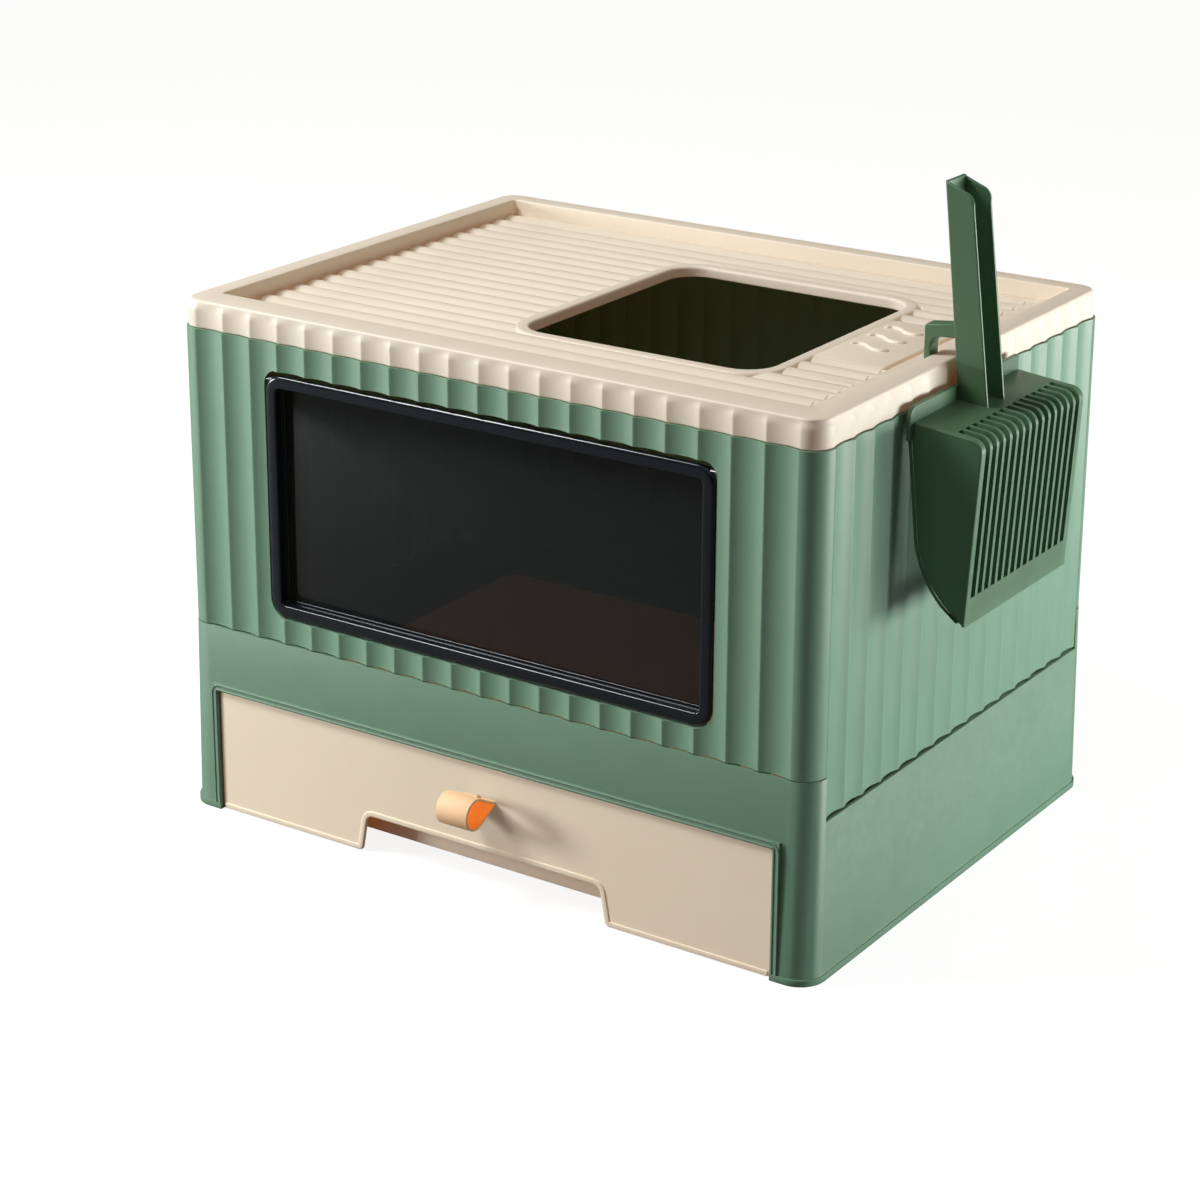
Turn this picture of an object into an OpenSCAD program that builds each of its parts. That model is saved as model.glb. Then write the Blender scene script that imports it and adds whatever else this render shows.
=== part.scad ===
// Drawer litter box: a slotted base with a pull-out litter drawer, a folding fluted hood
// with a smoked flip-up door, a ribbed lid with an entry hole, and a hook-on scoop.
// Origin: centre of the base's underside. +X right, +Y to the back, +Z up. Millimetres.

/* [Hood] */
// Spacing of the flutes
flute_pitch = 24; // [21:0.5:27]
// Flutes across the front and the back
front_flutes = 20; // [18:1:22]
// Flutes along each side
side_flutes = 15; // [13:1:17]
// Depth of a flute
flute_depth = 2.5; // [1.5:0.1:3.5]
// Thickness of the hood panels
panel_t = 2.2; // [1.8:0.1:3]
// Radius of the hood's upright corners
corner_r = 16.5; // [12:0.5:22]

/* [Base] */
// Height of the base's side walls
side_wall_h = 110; // [104:1:125]
// Height of the base's front wall, back wall and corner posts
front_wall_h = 140; // [132:1:150]
// Thickness of the base's walls
base_t = 2.6; // [2:0.1:3.5]
// How far the base's foot stands out from the hood
base_flare = 2.5; // [1:0.1:4]
// Height of the foot rim
foot_h = 4.5; // [3:0.5:8]
// Thickness of the runners under the drawer
runner_t = 3; // [2:0.5:5]
// Height of the litter ledge's underside
ledge_z = 83; // [80:1:90]
// Width of the litter ledge at the sides
ledge_side = 43.5; // [36:0.5:60]
// Width of the litter ledge at the back
ledge_back = 58.5; // [40:0.5:80]

/* [Drawer] */
// Width of the drawer front
drawer_w = 458; // [430:1:466]
// Height of the drawer front's top edge
drawer_top = 91; // [90:1:98]
// Gap under the drawer front
drawer_floor_gap = 1; // [0.5:0.5:3]
// Thickness of the drawer's walls
drawer_t = 2.4; // [2:0.1:3.5]
// Length of the litter tray behind the front
tray_len = 338; // [300:1:345]
// Width of the litter tray
tray_w = 440; // [400:1:446]
// Finger gap between the drawer front and the tray
finger_gap = 18; // [14:1:30]
// Height of the grip notch in the drawer front
notch_h = 28; // [20:1:40]
// Width of the grip notch at its top
notch_w = 194; // [150:1:260]

/* [Pull tab] */
// Width of the pull tab
tab_w = 26; // [18:1:40]
// Thickness of the strap
tab_t = 2; // [1.5:0.1:3]
// Radius of the loop
tab_r = 11.3; // [9:0.1:14]
// Height of the tab on the drawer front
tab_z = 66; // [55:1:72]

/* [Door] */
// Width of the door
door_w = 360; // [320:1:400]
// Height of the door
door_h = 175; // [150:1:200]
// Height of the front panel below the door
door_below = 19.2; // [16:0.1:30]
// Height of the front panel above the door's gap
door_above = 19.7; // [14:0.1:40]
// Width of the door's frame
door_frame_w = 9; // [8:0.5:26]
// Corner radius of the door
door_r = 13; // [9:0.5:20]
// Running gap at the door's sides and bottom
door_gap = 1.2; // [1:0.1:2]
// Gap above the door
door_top_gap = 3; // [2.4:0.1:4]
// Thickness of the smoked pane
pane_t = 2; // [1.5:0.1:3]
// Radius of the door's hinge pins
door_pin_r = 1.5; // [1.2:0.1:2]

/* [Lid] */
// Height of the lid
lid_h = 19; // [15:0.5:26]
// Wall thickness of the lid
lid_t = 2.5; // [2:0.1:3.5]
// Inset of the lid's lower edge from the hood
lid_inset = 1; // [0.5:0.1:1.5]
// Width of the rim along the front
rim_front = 24; // [18:0.5:34]
// Width of the rim along the back
rim_back = 15; // [12:0.5:24]
// Width of the rim along the sides
rim_side = 15; // [13:0.5:24]
// Depth of the ribbed deck below the rim, to the rib tops
deck_drop = 10.5; // [8:0.5:14]
// Number of ribs across the deck
ribs = 20; // [14:1:26]
// Height of a rib
rib_h = 3; // [1.5:0.1:4]
// Length of the entry hole along X
hole_x = 191; // [160:1:210]
// Length of the entry hole along Y
hole_y = 212; // [180:1:230]
// Centre of the entry hole along X
hole_cx = 54.5; // [30:0.5:60]
// Centre of the entry hole along Y
hole_cy = 11; // [0:0.5:16]
// Corner radius of the entry hole
hole_r = 22; // [15:1:40]
// Width of the flat ring around the entry hole
ring_w = 10; // [8:0.5:14]

/* [Scoop] */
// Width of the scoop's basket
scoop_w = 146; // [120:1:170]
// Centre of the basket along Y
scoop_y = -18; // [-26:1:-10]
// Depth of the basket from its back plate to the slotted plate
scoop_d = 49; // [40:1:60]
// Height of the slotted plate
scoop_h = 126; // [110:1:150]
// Drop of the basket's top face below the hood's top edge
scoop_drop = 7.2; // [4:0.1:11]
// Thickness of the scoop's walls
scoop_t = 2.2; // [1.8:0.1:3]
// Number of sifting slots
slots = 15; // [10:1:18]
// Width of a sifting slot
slot_w = 4.5; // [3:0.5:5.5]
// Width of the handle
handle_w = 25; // [20:1:34]
// Height of the handle above the basket
handle_h = 143; // [110:1:170]
// Depth of the handle's channel
handle_d = 21; // [16:1:28]
// Lean of the handle towards the lid
handle_lean = 16; // [8:0.5:22]

/* [Clearances] */
// Gap between pieces that rest on each other
seat_gap = 0.3; // [0.2:0.05:0.5]
// Gap at the upright seams between the panels
seam_gap = 0.4; // [0.3:0.1:1]
// Gap around the drawer front
drawer_gap = 0.9; // [0.6:0.1:2]
// Radial clearance of the pins
pin_gap = 0.05; // [0.03:0.01:0.1]

/* [Hidden] */
$fn = 64;
overlap = 0.4;          // how far joined bodies run into each other
half_x = front_flutes * flute_pitch / 2 + corner_r;
half_y = side_flutes * flute_pitch / 2 + corner_r;
side_half = side_flutes * flute_pitch / 2;
flute_r = (pow(flute_pitch / 2, 2) + pow(flute_depth, 2)) / (2 * flute_depth);
skin = flute_depth + panel_t;   // full depth of a fluted panel
door_z = front_wall_h + seat_gap + door_below;              // the door's bottom edge
hood_top = door_z + door_h + door_top_gap + door_above;     // the hood's top edge

// Fold hinges of the panels: the axis lies inside the panel, above the wall's top
fold_r = 3;             // radius of a hinge knuckle
fold_pin_r = 1.2;
fold_in = skin + fold_r + seat_gap;
fold_up = 6;            // height of the axis above the wall
knuckle_w = 14;
lug_w = 8;
side_axis_x = half_x - fold_in;
side_axis_z = side_wall_h + fold_up;
front_axis_y = half_y - fold_in;
front_axis_z = front_wall_h + fold_up;
side_knuckle_y = (side_flutes / 2 - 2.5) * flute_pitch;     // in the middle of a flute
front_knuckle_x = (front_flutes / 2 - 1.5) * flute_pitch;

// Base
foot_x = half_x + base_flare;
foot_y = half_y + base_flare;
base_in_x = half_x - base_t;            // inner face of the walls
base_in_y = half_y - base_t;
bay_half = drawer_w / 2 + drawer_gap;   // half width of the drawer bay
bead_w = 5;
bead_out = 0.4;

// Drawer
front_face_y = -(half_y + base_flare - 1);      // outer face of the drawer front
tray_front_y = front_face_y + drawer_t + finger_gap;
tray_back_y = tray_front_y + tray_len;
tray_top = ledge_z - 1.8;
skid_h = 4.7;
tray_z = runner_t + seat_gap + skid_h;
skid_w = 9;
skid_x = tray_w / 2 - 12;
tray_r = 12;
tray_rim = 5;
notch_slope = 5;

// Pull tab: a strap loop that hangs on a pin behind the drawer front
tab_len = 21;           // reach of the loop's centre in front of the drawer
tab_slot = tab_t * 2 + 0.6;
tab_pin_r = 1.6;
tab_eye = tab_pin_r + tab_t + pin_gap;
tab_tail = 9;           // depth of the pin behind the drawer front

// Door
door_face_y = -(half_y - 1);
door_flange_t = 3;
door_depth = 11;
knuckle_r = 3.2;
door_axis_y = door_face_y + 3.5;
door_axis_z = door_z + door_h - 4.2;
door_swing_r = 5.5;     // what turns about the door's axis above it
door_knuckle_w = 13;
door_knuckle_in = 6;    // distance of a knuckle from the door's edge
opening_r = 9;         // corner radius of the opening's top corners
jamb_t = 2.2;
jamb_d = 12;
boss_w = 10;
door_bore_x = door_w / 2 + door_gap + boss_w - 0.5;
pane_lap = 2.5;
pane_y = door_face_y + 8.5;

// Lid
lid_z = hood_top + seat_gap;
lid_top = lid_z + lid_h;
deck_top = lid_top - deck_drop;
groove_z = deck_top - rib_h;
deck_under = groove_z - lid_t;
lid_x = half_x - lid_inset;
lid_y = half_y - lid_inset;
deck_x = lid_x - flute_depth - rim_side;
deck_y0 = -(lid_y - flute_depth - rim_front);
deck_y1 = lid_y - flute_depth - rim_back;
rib_pitch = (deck_y1 - deck_y0) / ribs;
rib_r = (pow(rib_pitch / 2, 2) + pow(rib_h, 2)) / (2 * rib_h);
lid_plain = 2.5;        // height of the smooth band at the lid's top
guide_len = half_x * 1.5;
guide_drop = 8;

// Scoop and the pocket that its hook drops into
scoop_in = half_x + 1.5;                // inner face of the scoop's flange
scoop_y0 = scoop_y - scoop_w / 2;
scoop_x1 = scoop_in + scoop_d + 3;
scoop_top = hood_top - scoop_drop;      // the basket's top face
scoop_lip_z = scoop_top - 2;
slot_pitch = (scoop_w - 2 * scoop_t) / (slots + 0.5);
flange_h = 12;
flange_w = 150;
hook_w = 12;
hook_t = 4.8;
hook_gap = 0.5;
hook_x = deck_x - hook_gap - hook_t;    // inner face of the hook's leg
hook_y0 = scoop_y - handle_w / 2 + 3;
hook_bar_z = lid_top + 14;
pocket_y0 = scoop_y - 50;
pocket_y1 = scoop_y + 14;
pocket_t = 2;           // thickness of the pocket's floor
pocket_z = lid_z + 0.8; // underside of the pocket, above the folding side panel
pocket_floor = pocket_z + pocket_t;
handle_x0 = scoop_in + 2;
handle_top = scoop_top + handle_h;

// ---- shared shapes

module round_rect(hx, hy, r) {
  union() {
    square([2 * (hx - r), 2 * hy], center = true);
    square([2 * hx, 2 * (hy - r)], center = true);
    for (sx = [-1, 1]) for (sy = [-1, 1]) translate([sx * (hx - r), sy * (hy - r)]) circle(r = r);
  }
}

// Extrudes an outline drawn in X and Z along Y, from y0 over a length d
module along_y(y0, d) {
  translate([0, y0 + d, 0]) rotate([90, 0, 0]) linear_extrude(height = d) children();
}

// Extrudes an outline drawn in Y and Z along X, from x0 over a length d
module along_x(x0, d) {
  translate([x0, 0, 0]) rotate([90, 0, 90]) linear_extrude(height = d) children();
}

// Axis-aligned block between two corners
module block(a, b) {
  translate(a) cube([b[0] - a[0], b[1] - a[1], b[2] - a[2]]);
}

// Circles that scoop the flutes: their row lies outside a wall whose cusps are at y = 0
module flute_circles(n, r) {
  for (i = [0 : n - 1])
    translate([(i - (n - 1) / 2) * flute_pitch, flute_depth - flute_r]) circle(r = r, $fn = 96);
}

// Section of a fluted sheet, with its outer face towards -Y
module flute_sheet(n) {
  difference() {
    intersection() {
      translate([-n * flute_pitch / 2, 0]) square([n * flute_pitch, skin]);
      flute_circles(n, flute_r + panel_t);
    }
    flute_circles(n, flute_r);
  }
}

// Section of a front or back panel, with its two rounded corners
module end_panel_section() {
  union() {
    translate([0, -half_y]) flute_sheet(front_flutes);
    for (s = [-1, 1]) intersection() {
      translate([s * (half_x - corner_r), -(half_y - corner_r)]) difference() {
        circle(r = corner_r);
        circle(r = corner_r - panel_t);
      }
      translate([s > 0 ? half_x - corner_r : -half_x, -half_y])
        square([corner_r, corner_r - seam_gap / 2]);
    }
  }
}

// Knuckle along X on a panel's inner face, the panel being towards -Y of the axis
module fold_knuckle(axis_y, axis_z) {
  difference() {
    union() {
      translate([-knuckle_w / 2, axis_y, axis_z]) rotate([0, 90, 0]) cylinder(r = fold_r, h = knuckle_w);
      block([-knuckle_w / 2, axis_y - fold_r - seat_gap - overlap, axis_z],
            [knuckle_w / 2, axis_y, axis_z + fold_r]);
    }
    translate([-knuckle_w, axis_y, axis_z]) rotate([0, 90, 0])
      cylinder(r = fold_pin_r + pin_gap, h = 2 * knuckle_w);
  }
}

// Pair of base lugs that hold a fold pin, the wall being towards -Y of the axis
module fold_lugs(axis_y, axis_z) {
  for (s = [-1, 1]) translate([s * (knuckle_w / 2 + seat_gap + lug_w / 2), 0, 0]) difference() {
    union() {
      translate([-lug_w / 2, axis_y, axis_z]) rotate([0, 90, 0]) cylinder(r = fold_r, h = lug_w);
      block([-lug_w / 2, axis_y - fold_r, axis_z - 4 * fold_r], [lug_w / 2, axis_y + fold_r, axis_z]);
      block([-lug_w / 2, axis_y - fold_in + base_t / 2, axis_z - 4 * fold_r],
            [lug_w / 2, axis_y, axis_z - fold_up - 1]);
    }
    translate([-lug_w, axis_y, axis_z]) rotate([0, 90, 0])
      cylinder(r = fold_pin_r + pin_gap, h = 2 * lug_w);
  }
}

module fold_pin(axis_y, axis_z) {
  pin_len = knuckle_w + 2 * (lug_w + seat_gap);
  translate([-pin_len / 2, axis_y, axis_z]) rotate([0, 90, 0]) cylinder(r = fold_pin_r, h = pin_len);
}

// Places the children at both knuckles of the front (turn 0) or the back (turn 180)
module at_end_hinges(turn) {
  rotate([0, 0, turn]) for (s = [-1, 1]) translate([s * front_knuckle_x, 0, 0]) children();
}

// Places the children at both knuckles of the right side (turn 90) or the left (turn -90)
module at_side_hinges(turn) {
  rotate([0, 0, turn]) for (s = [-1, 1]) translate([s * side_knuckle_y, 0, 0]) children();
}

// ---- base

// Solid with rounded corners that narrows from the floor to the top of the walls
module base_form(inset, z0, z1) {
  hull() {
    translate([0, 0, z0]) linear_extrude(height = 0.01)
      round_rect(foot_x - inset, foot_y - inset, corner_r + base_flare - inset, $fn = 32);
    translate([0, 0, z1]) linear_extrude(height = 0.01)
      round_rect(half_x + 0.1 - inset, half_y + 0.1 - inset, corner_r - inset, $fn = 32);
  }
}

module base_ledge() {
  translate([0, 0, ledge_z]) linear_extrude(height = base_t) difference() {
    round_rect(base_in_x + base_t / 2, base_in_y + base_t / 2, corner_r - base_t / 2);
    translate([0, (ledge_side - ledge_back) / 2 - 7]) round_rect(half_x - ledge_side,
      half_y - (ledge_side + ledge_back) / 2 + 7, tray_r);
  }
}

// Runners along the sides, a shelf at the back and a tie across the middle
module base_runners() {
  tie = 30;
  linear_extrude(height = runner_t) difference() {
    round_rect(foot_x - base_t / 2, foot_y - base_t / 2, corner_r);
    translate([0, -tie / 2 - foot_y]) square([2 * (skid_x - skid_w), 2 * foot_y], center = true);
    translate([0, (tray_back_y + tie / 2) / 2])
      square([2 * (skid_x - skid_w), tray_back_y - tie / 2], center = true);
  }
}

module drawer_bay(margin, y0, y1) {
  block([-(bay_half + margin), y0, -1], [bay_half + margin, y1, drawer_top + drawer_gap + margin]);
}

module base_frame() {
  color([0.32, 0.50, 0.40]) difference() {
    union() {
      difference() {
        base_form(0, 0, front_wall_h);
        translate([0, 0, -1]) base_form(base_t, 0, front_wall_h + 2);
        for (s = [-1, 1]) block([s > 0 ? half_x - 3 * corner_r : -2 * half_x, -side_half, side_wall_h],
                                [s > 0 ? 2 * half_x : 3 * corner_r - half_x, side_half, front_wall_h + 2]);
      }
      linear_extrude(height = foot_h) difference() {
        round_rect(foot_x + 1, foot_y + 1, corner_r + base_flare);
        round_rect(foot_x - base_t, foot_y - base_t, corner_r);
      }
      block([-(bay_half + bead_w), -(foot_y + bead_out), 0],
            [bay_half + bead_w, -(foot_y - base_t), drawer_top + drawer_gap + bead_w]);
      base_ledge();
      base_runners();
      at_end_hinges(0) fold_lugs(-front_axis_y, front_axis_z);
      at_end_hinges(180) fold_lugs(-front_axis_y, front_axis_z);
      at_side_hinges(90) fold_lugs(-side_axis_x, side_axis_z);
      at_side_hinges(-90) fold_lugs(-side_axis_x, side_axis_z);
    }
    drawer_bay(0, -2 * foot_y, -(base_in_y - base_t));
    block([-tray_w / 2 - tray_rim - 1, -2 * foot_y, runner_t], [tray_w / 2 + tray_rim + 1,
          -(base_in_y - 2 * base_t), ledge_z]);
  }
}

// ---- hood panels

module door_outline(margin) {
  translate([0, door_z + door_h / 2])
    round_rect(door_w / 2 + margin, door_h / 2 + margin, max(door_r + margin, 4));
}

// Opening that the door closes, higher than the door so that its top edge can turn in it
module opening_outline(margin) {
  top = door_z + door_h + door_top_gap + margin;
  union() {
    door_outline(door_gap + margin);
    translate([0, (door_z + door_h / 2 + top) / 2])
      round_rect(door_w / 2 + door_gap + margin, (top - door_z - door_h / 2) / 2, opening_r + margin);
  }
}

module front_panel() {
  color([0.38, 0.56, 0.45]) union() {
    difference() {
      union() {
        translate([0, 0, front_wall_h + seat_gap])
          linear_extrude(height = hood_top - front_wall_h - seat_gap) end_panel_section();
        along_y(-half_y, jamb_d) opening_outline(jamb_t);
        for (s = [-1, 1]) translate([s * (door_w / 2 + door_gap + boss_w / 2), 0, 0])
          block([-boss_w / 2, -(half_y - flute_depth - 0.5), door_axis_z - knuckle_r],
                [boss_w / 2, door_axis_y + knuckle_r, door_axis_z + knuckle_r]);
      }
      along_y(-2 * half_y, 2 * half_y) opening_outline(0);
      translate([-door_bore_x, door_axis_y, door_axis_z]) rotate([0, 90, 0])
        cylinder(r = door_pin_r + pin_gap, h = 2 * door_bore_x);
    }
    at_end_hinges(0) fold_knuckle(-front_axis_y, front_axis_z);
  }
}

module back_panel() {
  color([0.38, 0.56, 0.45]) union() {
    rotate([0, 0, 180]) translate([0, 0, front_wall_h + seat_gap])
      linear_extrude(height = hood_top - front_wall_h - seat_gap) end_panel_section();
    at_end_hinges(180) fold_knuckle(-front_axis_y, front_axis_z);
  }
}

// A side panel, drawn as if it were the front one and turned to its side
module side_panel(turn) {
  union() {
    rotate([0, 0, turn]) translate([0, 0, side_wall_h + seat_gap])
      linear_extrude(height = hood_top - side_wall_h - 2 * seat_gap) intersection() {
        translate([0, -half_x]) flute_sheet(side_flutes);
        square([2 * side_half - seam_gap, 4 * half_x], center = true);
      }
    at_side_hinges(turn) fold_knuckle(-side_axis_x, side_axis_z);
  }
}

module left_panel() {
  color([0.38, 0.56, 0.45]) side_panel(-90);
}

module right_panel() {
  color([0.38, 0.56, 0.45]) side_panel(90);
}

module front_hinge_pins() {
  color("silver") at_end_hinges(0) fold_pin(-front_axis_y, front_axis_z);
}

module back_hinge_pins() {
  color("silver") at_end_hinges(180) fold_pin(-front_axis_y, front_axis_z);
}

module left_hinge_pins() {
  color("silver") at_side_hinges(-90) fold_pin(-side_axis_x, side_axis_z);
}

module right_hinge_pins() {
  color("silver") at_side_hinges(90) fold_pin(-side_axis_x, side_axis_z);
}

// ---- drawer

module drawer_front() {
  difference() {
    along_y(front_face_y, drawer_t) polygon([
      [-drawer_w / 2, drawer_floor_gap], [-(notch_w / 2 + notch_slope), drawer_floor_gap],
      [-notch_w / 2, drawer_floor_gap + notch_h], [notch_w / 2, drawer_floor_gap + notch_h],
      [notch_w / 2 + notch_slope, drawer_floor_gap], [drawer_w / 2, drawer_floor_gap],
      [drawer_w / 2, drawer_top], [-drawer_w / 2, drawer_top]]);
    block([-(tab_w + 1) / 2, 2 * front_face_y, tab_z - tab_slot / 2],
          [(tab_w + 1) / 2, 0, tab_z + tab_slot / 2]);
  }
}

module tray_form(inset, z0, z1) {
  translate([0, (tray_front_y + tray_back_y) / 2, z0]) linear_extrude(height = z1 - z0)
    round_rect(tray_w / 2 - inset, tray_len / 2 - inset, tray_r - inset);
}

// Ears behind the drawer front that hold the pull tab's pin
module tab_ears() {
  ear_t = 3;
  for (s = [-1, 1]) difference() {
    translate([s * (tab_w / 2 + seat_gap + ear_t / 2), 0, 0])
      block([-ear_t / 2, front_face_y + drawer_t - overlap, tab_z - tab_eye],
            [ear_t / 2, front_face_y + tab_tail + tab_eye, tab_z + tab_eye]);
    translate([-tab_w, front_face_y + tab_tail, tab_z]) rotate([0, 90, 0])
      cylinder(r = tab_pin_r + pin_gap, h = 2 * tab_w);
  }
}

module drawer() {
  color([0.86, 0.78, 0.68]) difference() {
    union() {
      drawer_front();
      tray_form(0, tray_z, tray_top - 1);
      tray_form(-tray_rim, tray_top - drawer_t, tray_top);
      block([-tray_w / 2, front_face_y + drawer_t - overlap, tray_top - drawer_t],
            [tray_w / 2, tray_front_y + tray_r, tray_top]);
      for (s = [-1, 1]) translate([s * skid_x, 0, 0])
        block([-skid_w / 2, tray_front_y + tray_r, runner_t + seat_gap],
              [skid_w / 2, tray_back_y - tray_r, tray_z + overlap]);
      tab_ears();
    }
    tray_form(drawer_t, tray_z + drawer_t, tray_top + 1);
  }
}

// Section of the strap: a teardrop loop in front, and an eye around the pin behind
module tab_section(inset) {
  union() {
    hull() {
      translate([front_face_y - tab_len, tab_z]) circle(r = tab_r - inset, $fn = 48);
      translate([front_face_y - 1, tab_z]) circle(r = tab_t - inset * 0.95, $fn = 24);
    }
    if (inset == 0) translate([front_face_y - 1, tab_z - tab_t]) square([tab_tail + 1, 2 * tab_t]);
    translate([front_face_y + tab_tail, tab_z])
      circle(r = inset == 0 ? tab_eye : tab_pin_r + pin_gap, $fn = 48);
  }
}

module pull_tab() {
  color([0.98, 0.62, 0.30]) along_x(-tab_w / 2, tab_w) difference() {
    tab_section(0);
    tab_section(tab_t);
  }
}

module pull_tab_pin() {
  pin_len = tab_w + 6;
  color("silver") translate([-pin_len / 2, front_face_y + tab_tail, tab_z]) rotate([0, 90, 0])
    cylinder(r = tab_pin_r, h = pin_len);
}

// ---- door

module door_frame() {
  lip_y = pane_y - 1.5;
  color([0.16, 0.19, 0.23]) difference() {
    union() {
      difference() {
        union() {
          along_y(door_face_y, door_flange_t) door_outline(0);
          along_y(door_face_y, door_depth) door_outline(2 - door_frame_w);
        }
        along_y(-2 * half_y, 2 * half_y) door_outline(-door_frame_w - pane_lap);
        along_y(-2 * half_y, 2 * half_y + lip_y) door_outline(-door_frame_w);
        along_y(pane_y - seat_gap, half_y) door_outline(-door_frame_w);
      }
      for (s = [-1, 1]) translate([s * (door_w / 2 - door_knuckle_in - door_knuckle_w / 2), 0, 0]) {
        translate([-door_knuckle_w / 2, door_axis_y, door_axis_z]) rotate([0, 90, 0])
          cylinder(r = knuckle_r, h = door_knuckle_w);
        block([-door_knuckle_w / 2, door_face_y + 1, door_axis_z - knuckle_r - 1],
              [door_knuckle_w / 2, door_axis_y + knuckle_r - 1, door_axis_z]);
      }
    }
    difference() {
      block([-door_w, 2 * door_face_y, door_axis_z], [door_w, 0, 2 * door_axis_z]);
      translate([-door_w, door_axis_y, door_axis_z]) rotate([0, 90, 0])
        cylinder(r = door_swing_r, h = 2 * door_w);
    }
    for (s = [-1, 1]) translate([s * (door_w / 2 - door_knuckle_w / 2), door_axis_y, door_axis_z])
      rotate([0, 90, 0]) cylinder(r = door_pin_r + pin_gap, h = 2 * door_knuckle_w, center = true);
  }
}

module door_pane() {
  color([0.10, 0.11, 0.13, 0.75]) along_y(pane_y, pane_t) door_outline(-door_frame_w - 0.3);
}

module door_hinge_pins() {
  pin_x0 = door_w / 2 - door_knuckle_in - door_knuckle_w + 1;
  pin_x1 = door_w / 2 + door_gap + boss_w - 1;
  color("silver") for (s = [-1, 1]) translate([s * (pin_x0 + pin_x1) / 2, door_axis_y, door_axis_z])
    rotate([0, 90, 0]) cylinder(r = door_pin_r, h = pin_x1 - pin_x0, center = true);
}

// ---- lid

// Outline of the lid with flutes in line with the hood's
module lid_outline() {
  difference() {
    round_rect(lid_x, lid_y, corner_r - lid_inset);
    for (turn = [0, 180]) rotate([0, 0, turn]) translate([0, -lid_y]) flute_circles(front_flutes, flute_r);
    for (turn = [90, -90]) rotate([0, 0, turn]) translate([0, -lid_x]) flute_circles(side_flutes, flute_r);
  }
}

// Slope that the cusps fade away on, seen along an edge of the half width h
module lid_slope(h) {
  polygon([[-h, lid_z - guide_drop], [h, lid_z - guide_drop], [h, lid_z + 4],
           [h - flute_depth, lid_top - lid_plain], [h - flute_depth, lid_top + 1],
           [flute_depth - h, lid_top + 1], [flute_depth - h, lid_top - lid_plain], [-h, lid_z + 4]]);
}

module lid_shell() {
  intersection() {
    translate([0, 0, lid_z]) linear_extrude(height = lid_h) lid_outline();
    along_x(-2 * lid_x, 4 * lid_x) lid_slope(lid_y);
    along_y(-2 * lid_y, 4 * lid_y) lid_slope(lid_x);
  }
}

// Recess that the deck lies in, from z0 up
module deck_recess(z0) {
  block([-deck_x, deck_y0, z0], [deck_x, deck_y1, lid_top + 1]);
}

module lid_ribs() {
  along_x(-deck_x - overlap, 2 * (deck_x + overlap)) intersection() {
    union() for (i = [0 : ribs - 1])
      translate([deck_y0 + (i + 0.5) * rib_pitch, deck_top - rib_r]) circle(r = rib_r, $fn = 96);
    translate([deck_y0 - overlap, deck_under])
      square([deck_y1 - deck_y0 + 2 * overlap, deck_top - deck_under]);
  }
}

module hole_outline(margin) {
  translate([hole_cx, hole_cy]) round_rect(hole_x / 2 + margin, hole_y / 2 + margin, hole_r + margin);
}

// One raised wave mark, an S of two arcs lying along X
module wave_mark(x, y) {
  wave_r = 6;
  wave_w = 3;
  translate([x, y, deck_top - overlap]) linear_extrude(height = 1.2 + overlap) for (s = [-1, 1])
    translate([s * (wave_r - wave_w / 2), 0]) intersection() {
      difference() {
        circle(r = wave_r);
        circle(r = wave_r - wave_w);
      }
      translate([-wave_r, s > 0 ? 0 : -wave_r]) square([2 * wave_r, wave_r]);
    }
}

module lid() {
  pad_x0 = hole_cx + hole_x / 2 + ring_w - 1;
  pad_x1 = deck_x - 5;
  color([0.91, 0.84, 0.75]) difference() {
    union() {
      difference() {
        lid_shell();
        deck_recess(deck_under + overlap);
        translate([0, 0, lid_z - 1]) linear_extrude(height = deck_under + 1 - lid_z)
          round_rect(lid_x - flute_depth - lid_t, lid_y - flute_depth - lid_t, corner_r - lid_inset - lid_t);
      }
      lid_ribs();
      translate([0, 0, lid_z + 1]) linear_extrude(height = deck_top + 0.3 - lid_z - 1) hole_outline(ring_w);
      block([pad_x0, hole_cy - 51, deck_under], [pad_x1, hole_cy + 79, deck_top]);
      for (i = [-1, 0, 1]) wave_mark((pad_x0 + pad_x1) / 2 - 8, hole_cy + 10 + i * 24);
      block([hook_x - hook_gap - lid_t, pocket_y0 - lid_t, pocket_z],
            [deck_x + overlap, pocket_y1 + lid_t, deck_under + overlap]);
      for (s = [-1, 1]) block([-guide_len / 2, s > 0 ? half_y - skin - 2.5 : -(half_y - skin - 0.5), lid_z - guide_drop],
        [guide_len / 2, s > 0 ? half_y - skin - 0.5 : -(half_y - skin - 2.5), deck_under + overlap]);
    }
    translate([0, 0, lid_z - 1]) linear_extrude(height = lid_h + 2) hole_outline(0);
    block([hook_x - hook_gap, pocket_y0, pocket_floor], [deck_x, pocket_y1, lid_top + 1]);
  }
}

// ---- scoop

// Side outline of the basket in X and Z
module basket_side() {
  bottom = scoop_lip_z - scoop_h;
  polygon([[scoop_in + 1, scoop_top + 2], [scoop_x1 - 3, scoop_lip_z], [scoop_x1, scoop_lip_z - 3],
           [scoop_x1 - 8, bottom], [scoop_x1 - 14, bottom + 3], [scoop_x1 - 26, bottom + 14],
           [scoop_x1 - 36, bottom + 27], [scoop_in + 10, bottom + 40]]);
}

module basket_shell() {
  difference() {
    along_y(scoop_y0, scoop_w) basket_side();
    along_y(scoop_y0 + scoop_t, scoop_w - 2 * scoop_t) translate([-scoop_t, -scoop_t]) basket_side();
  }
}

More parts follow.
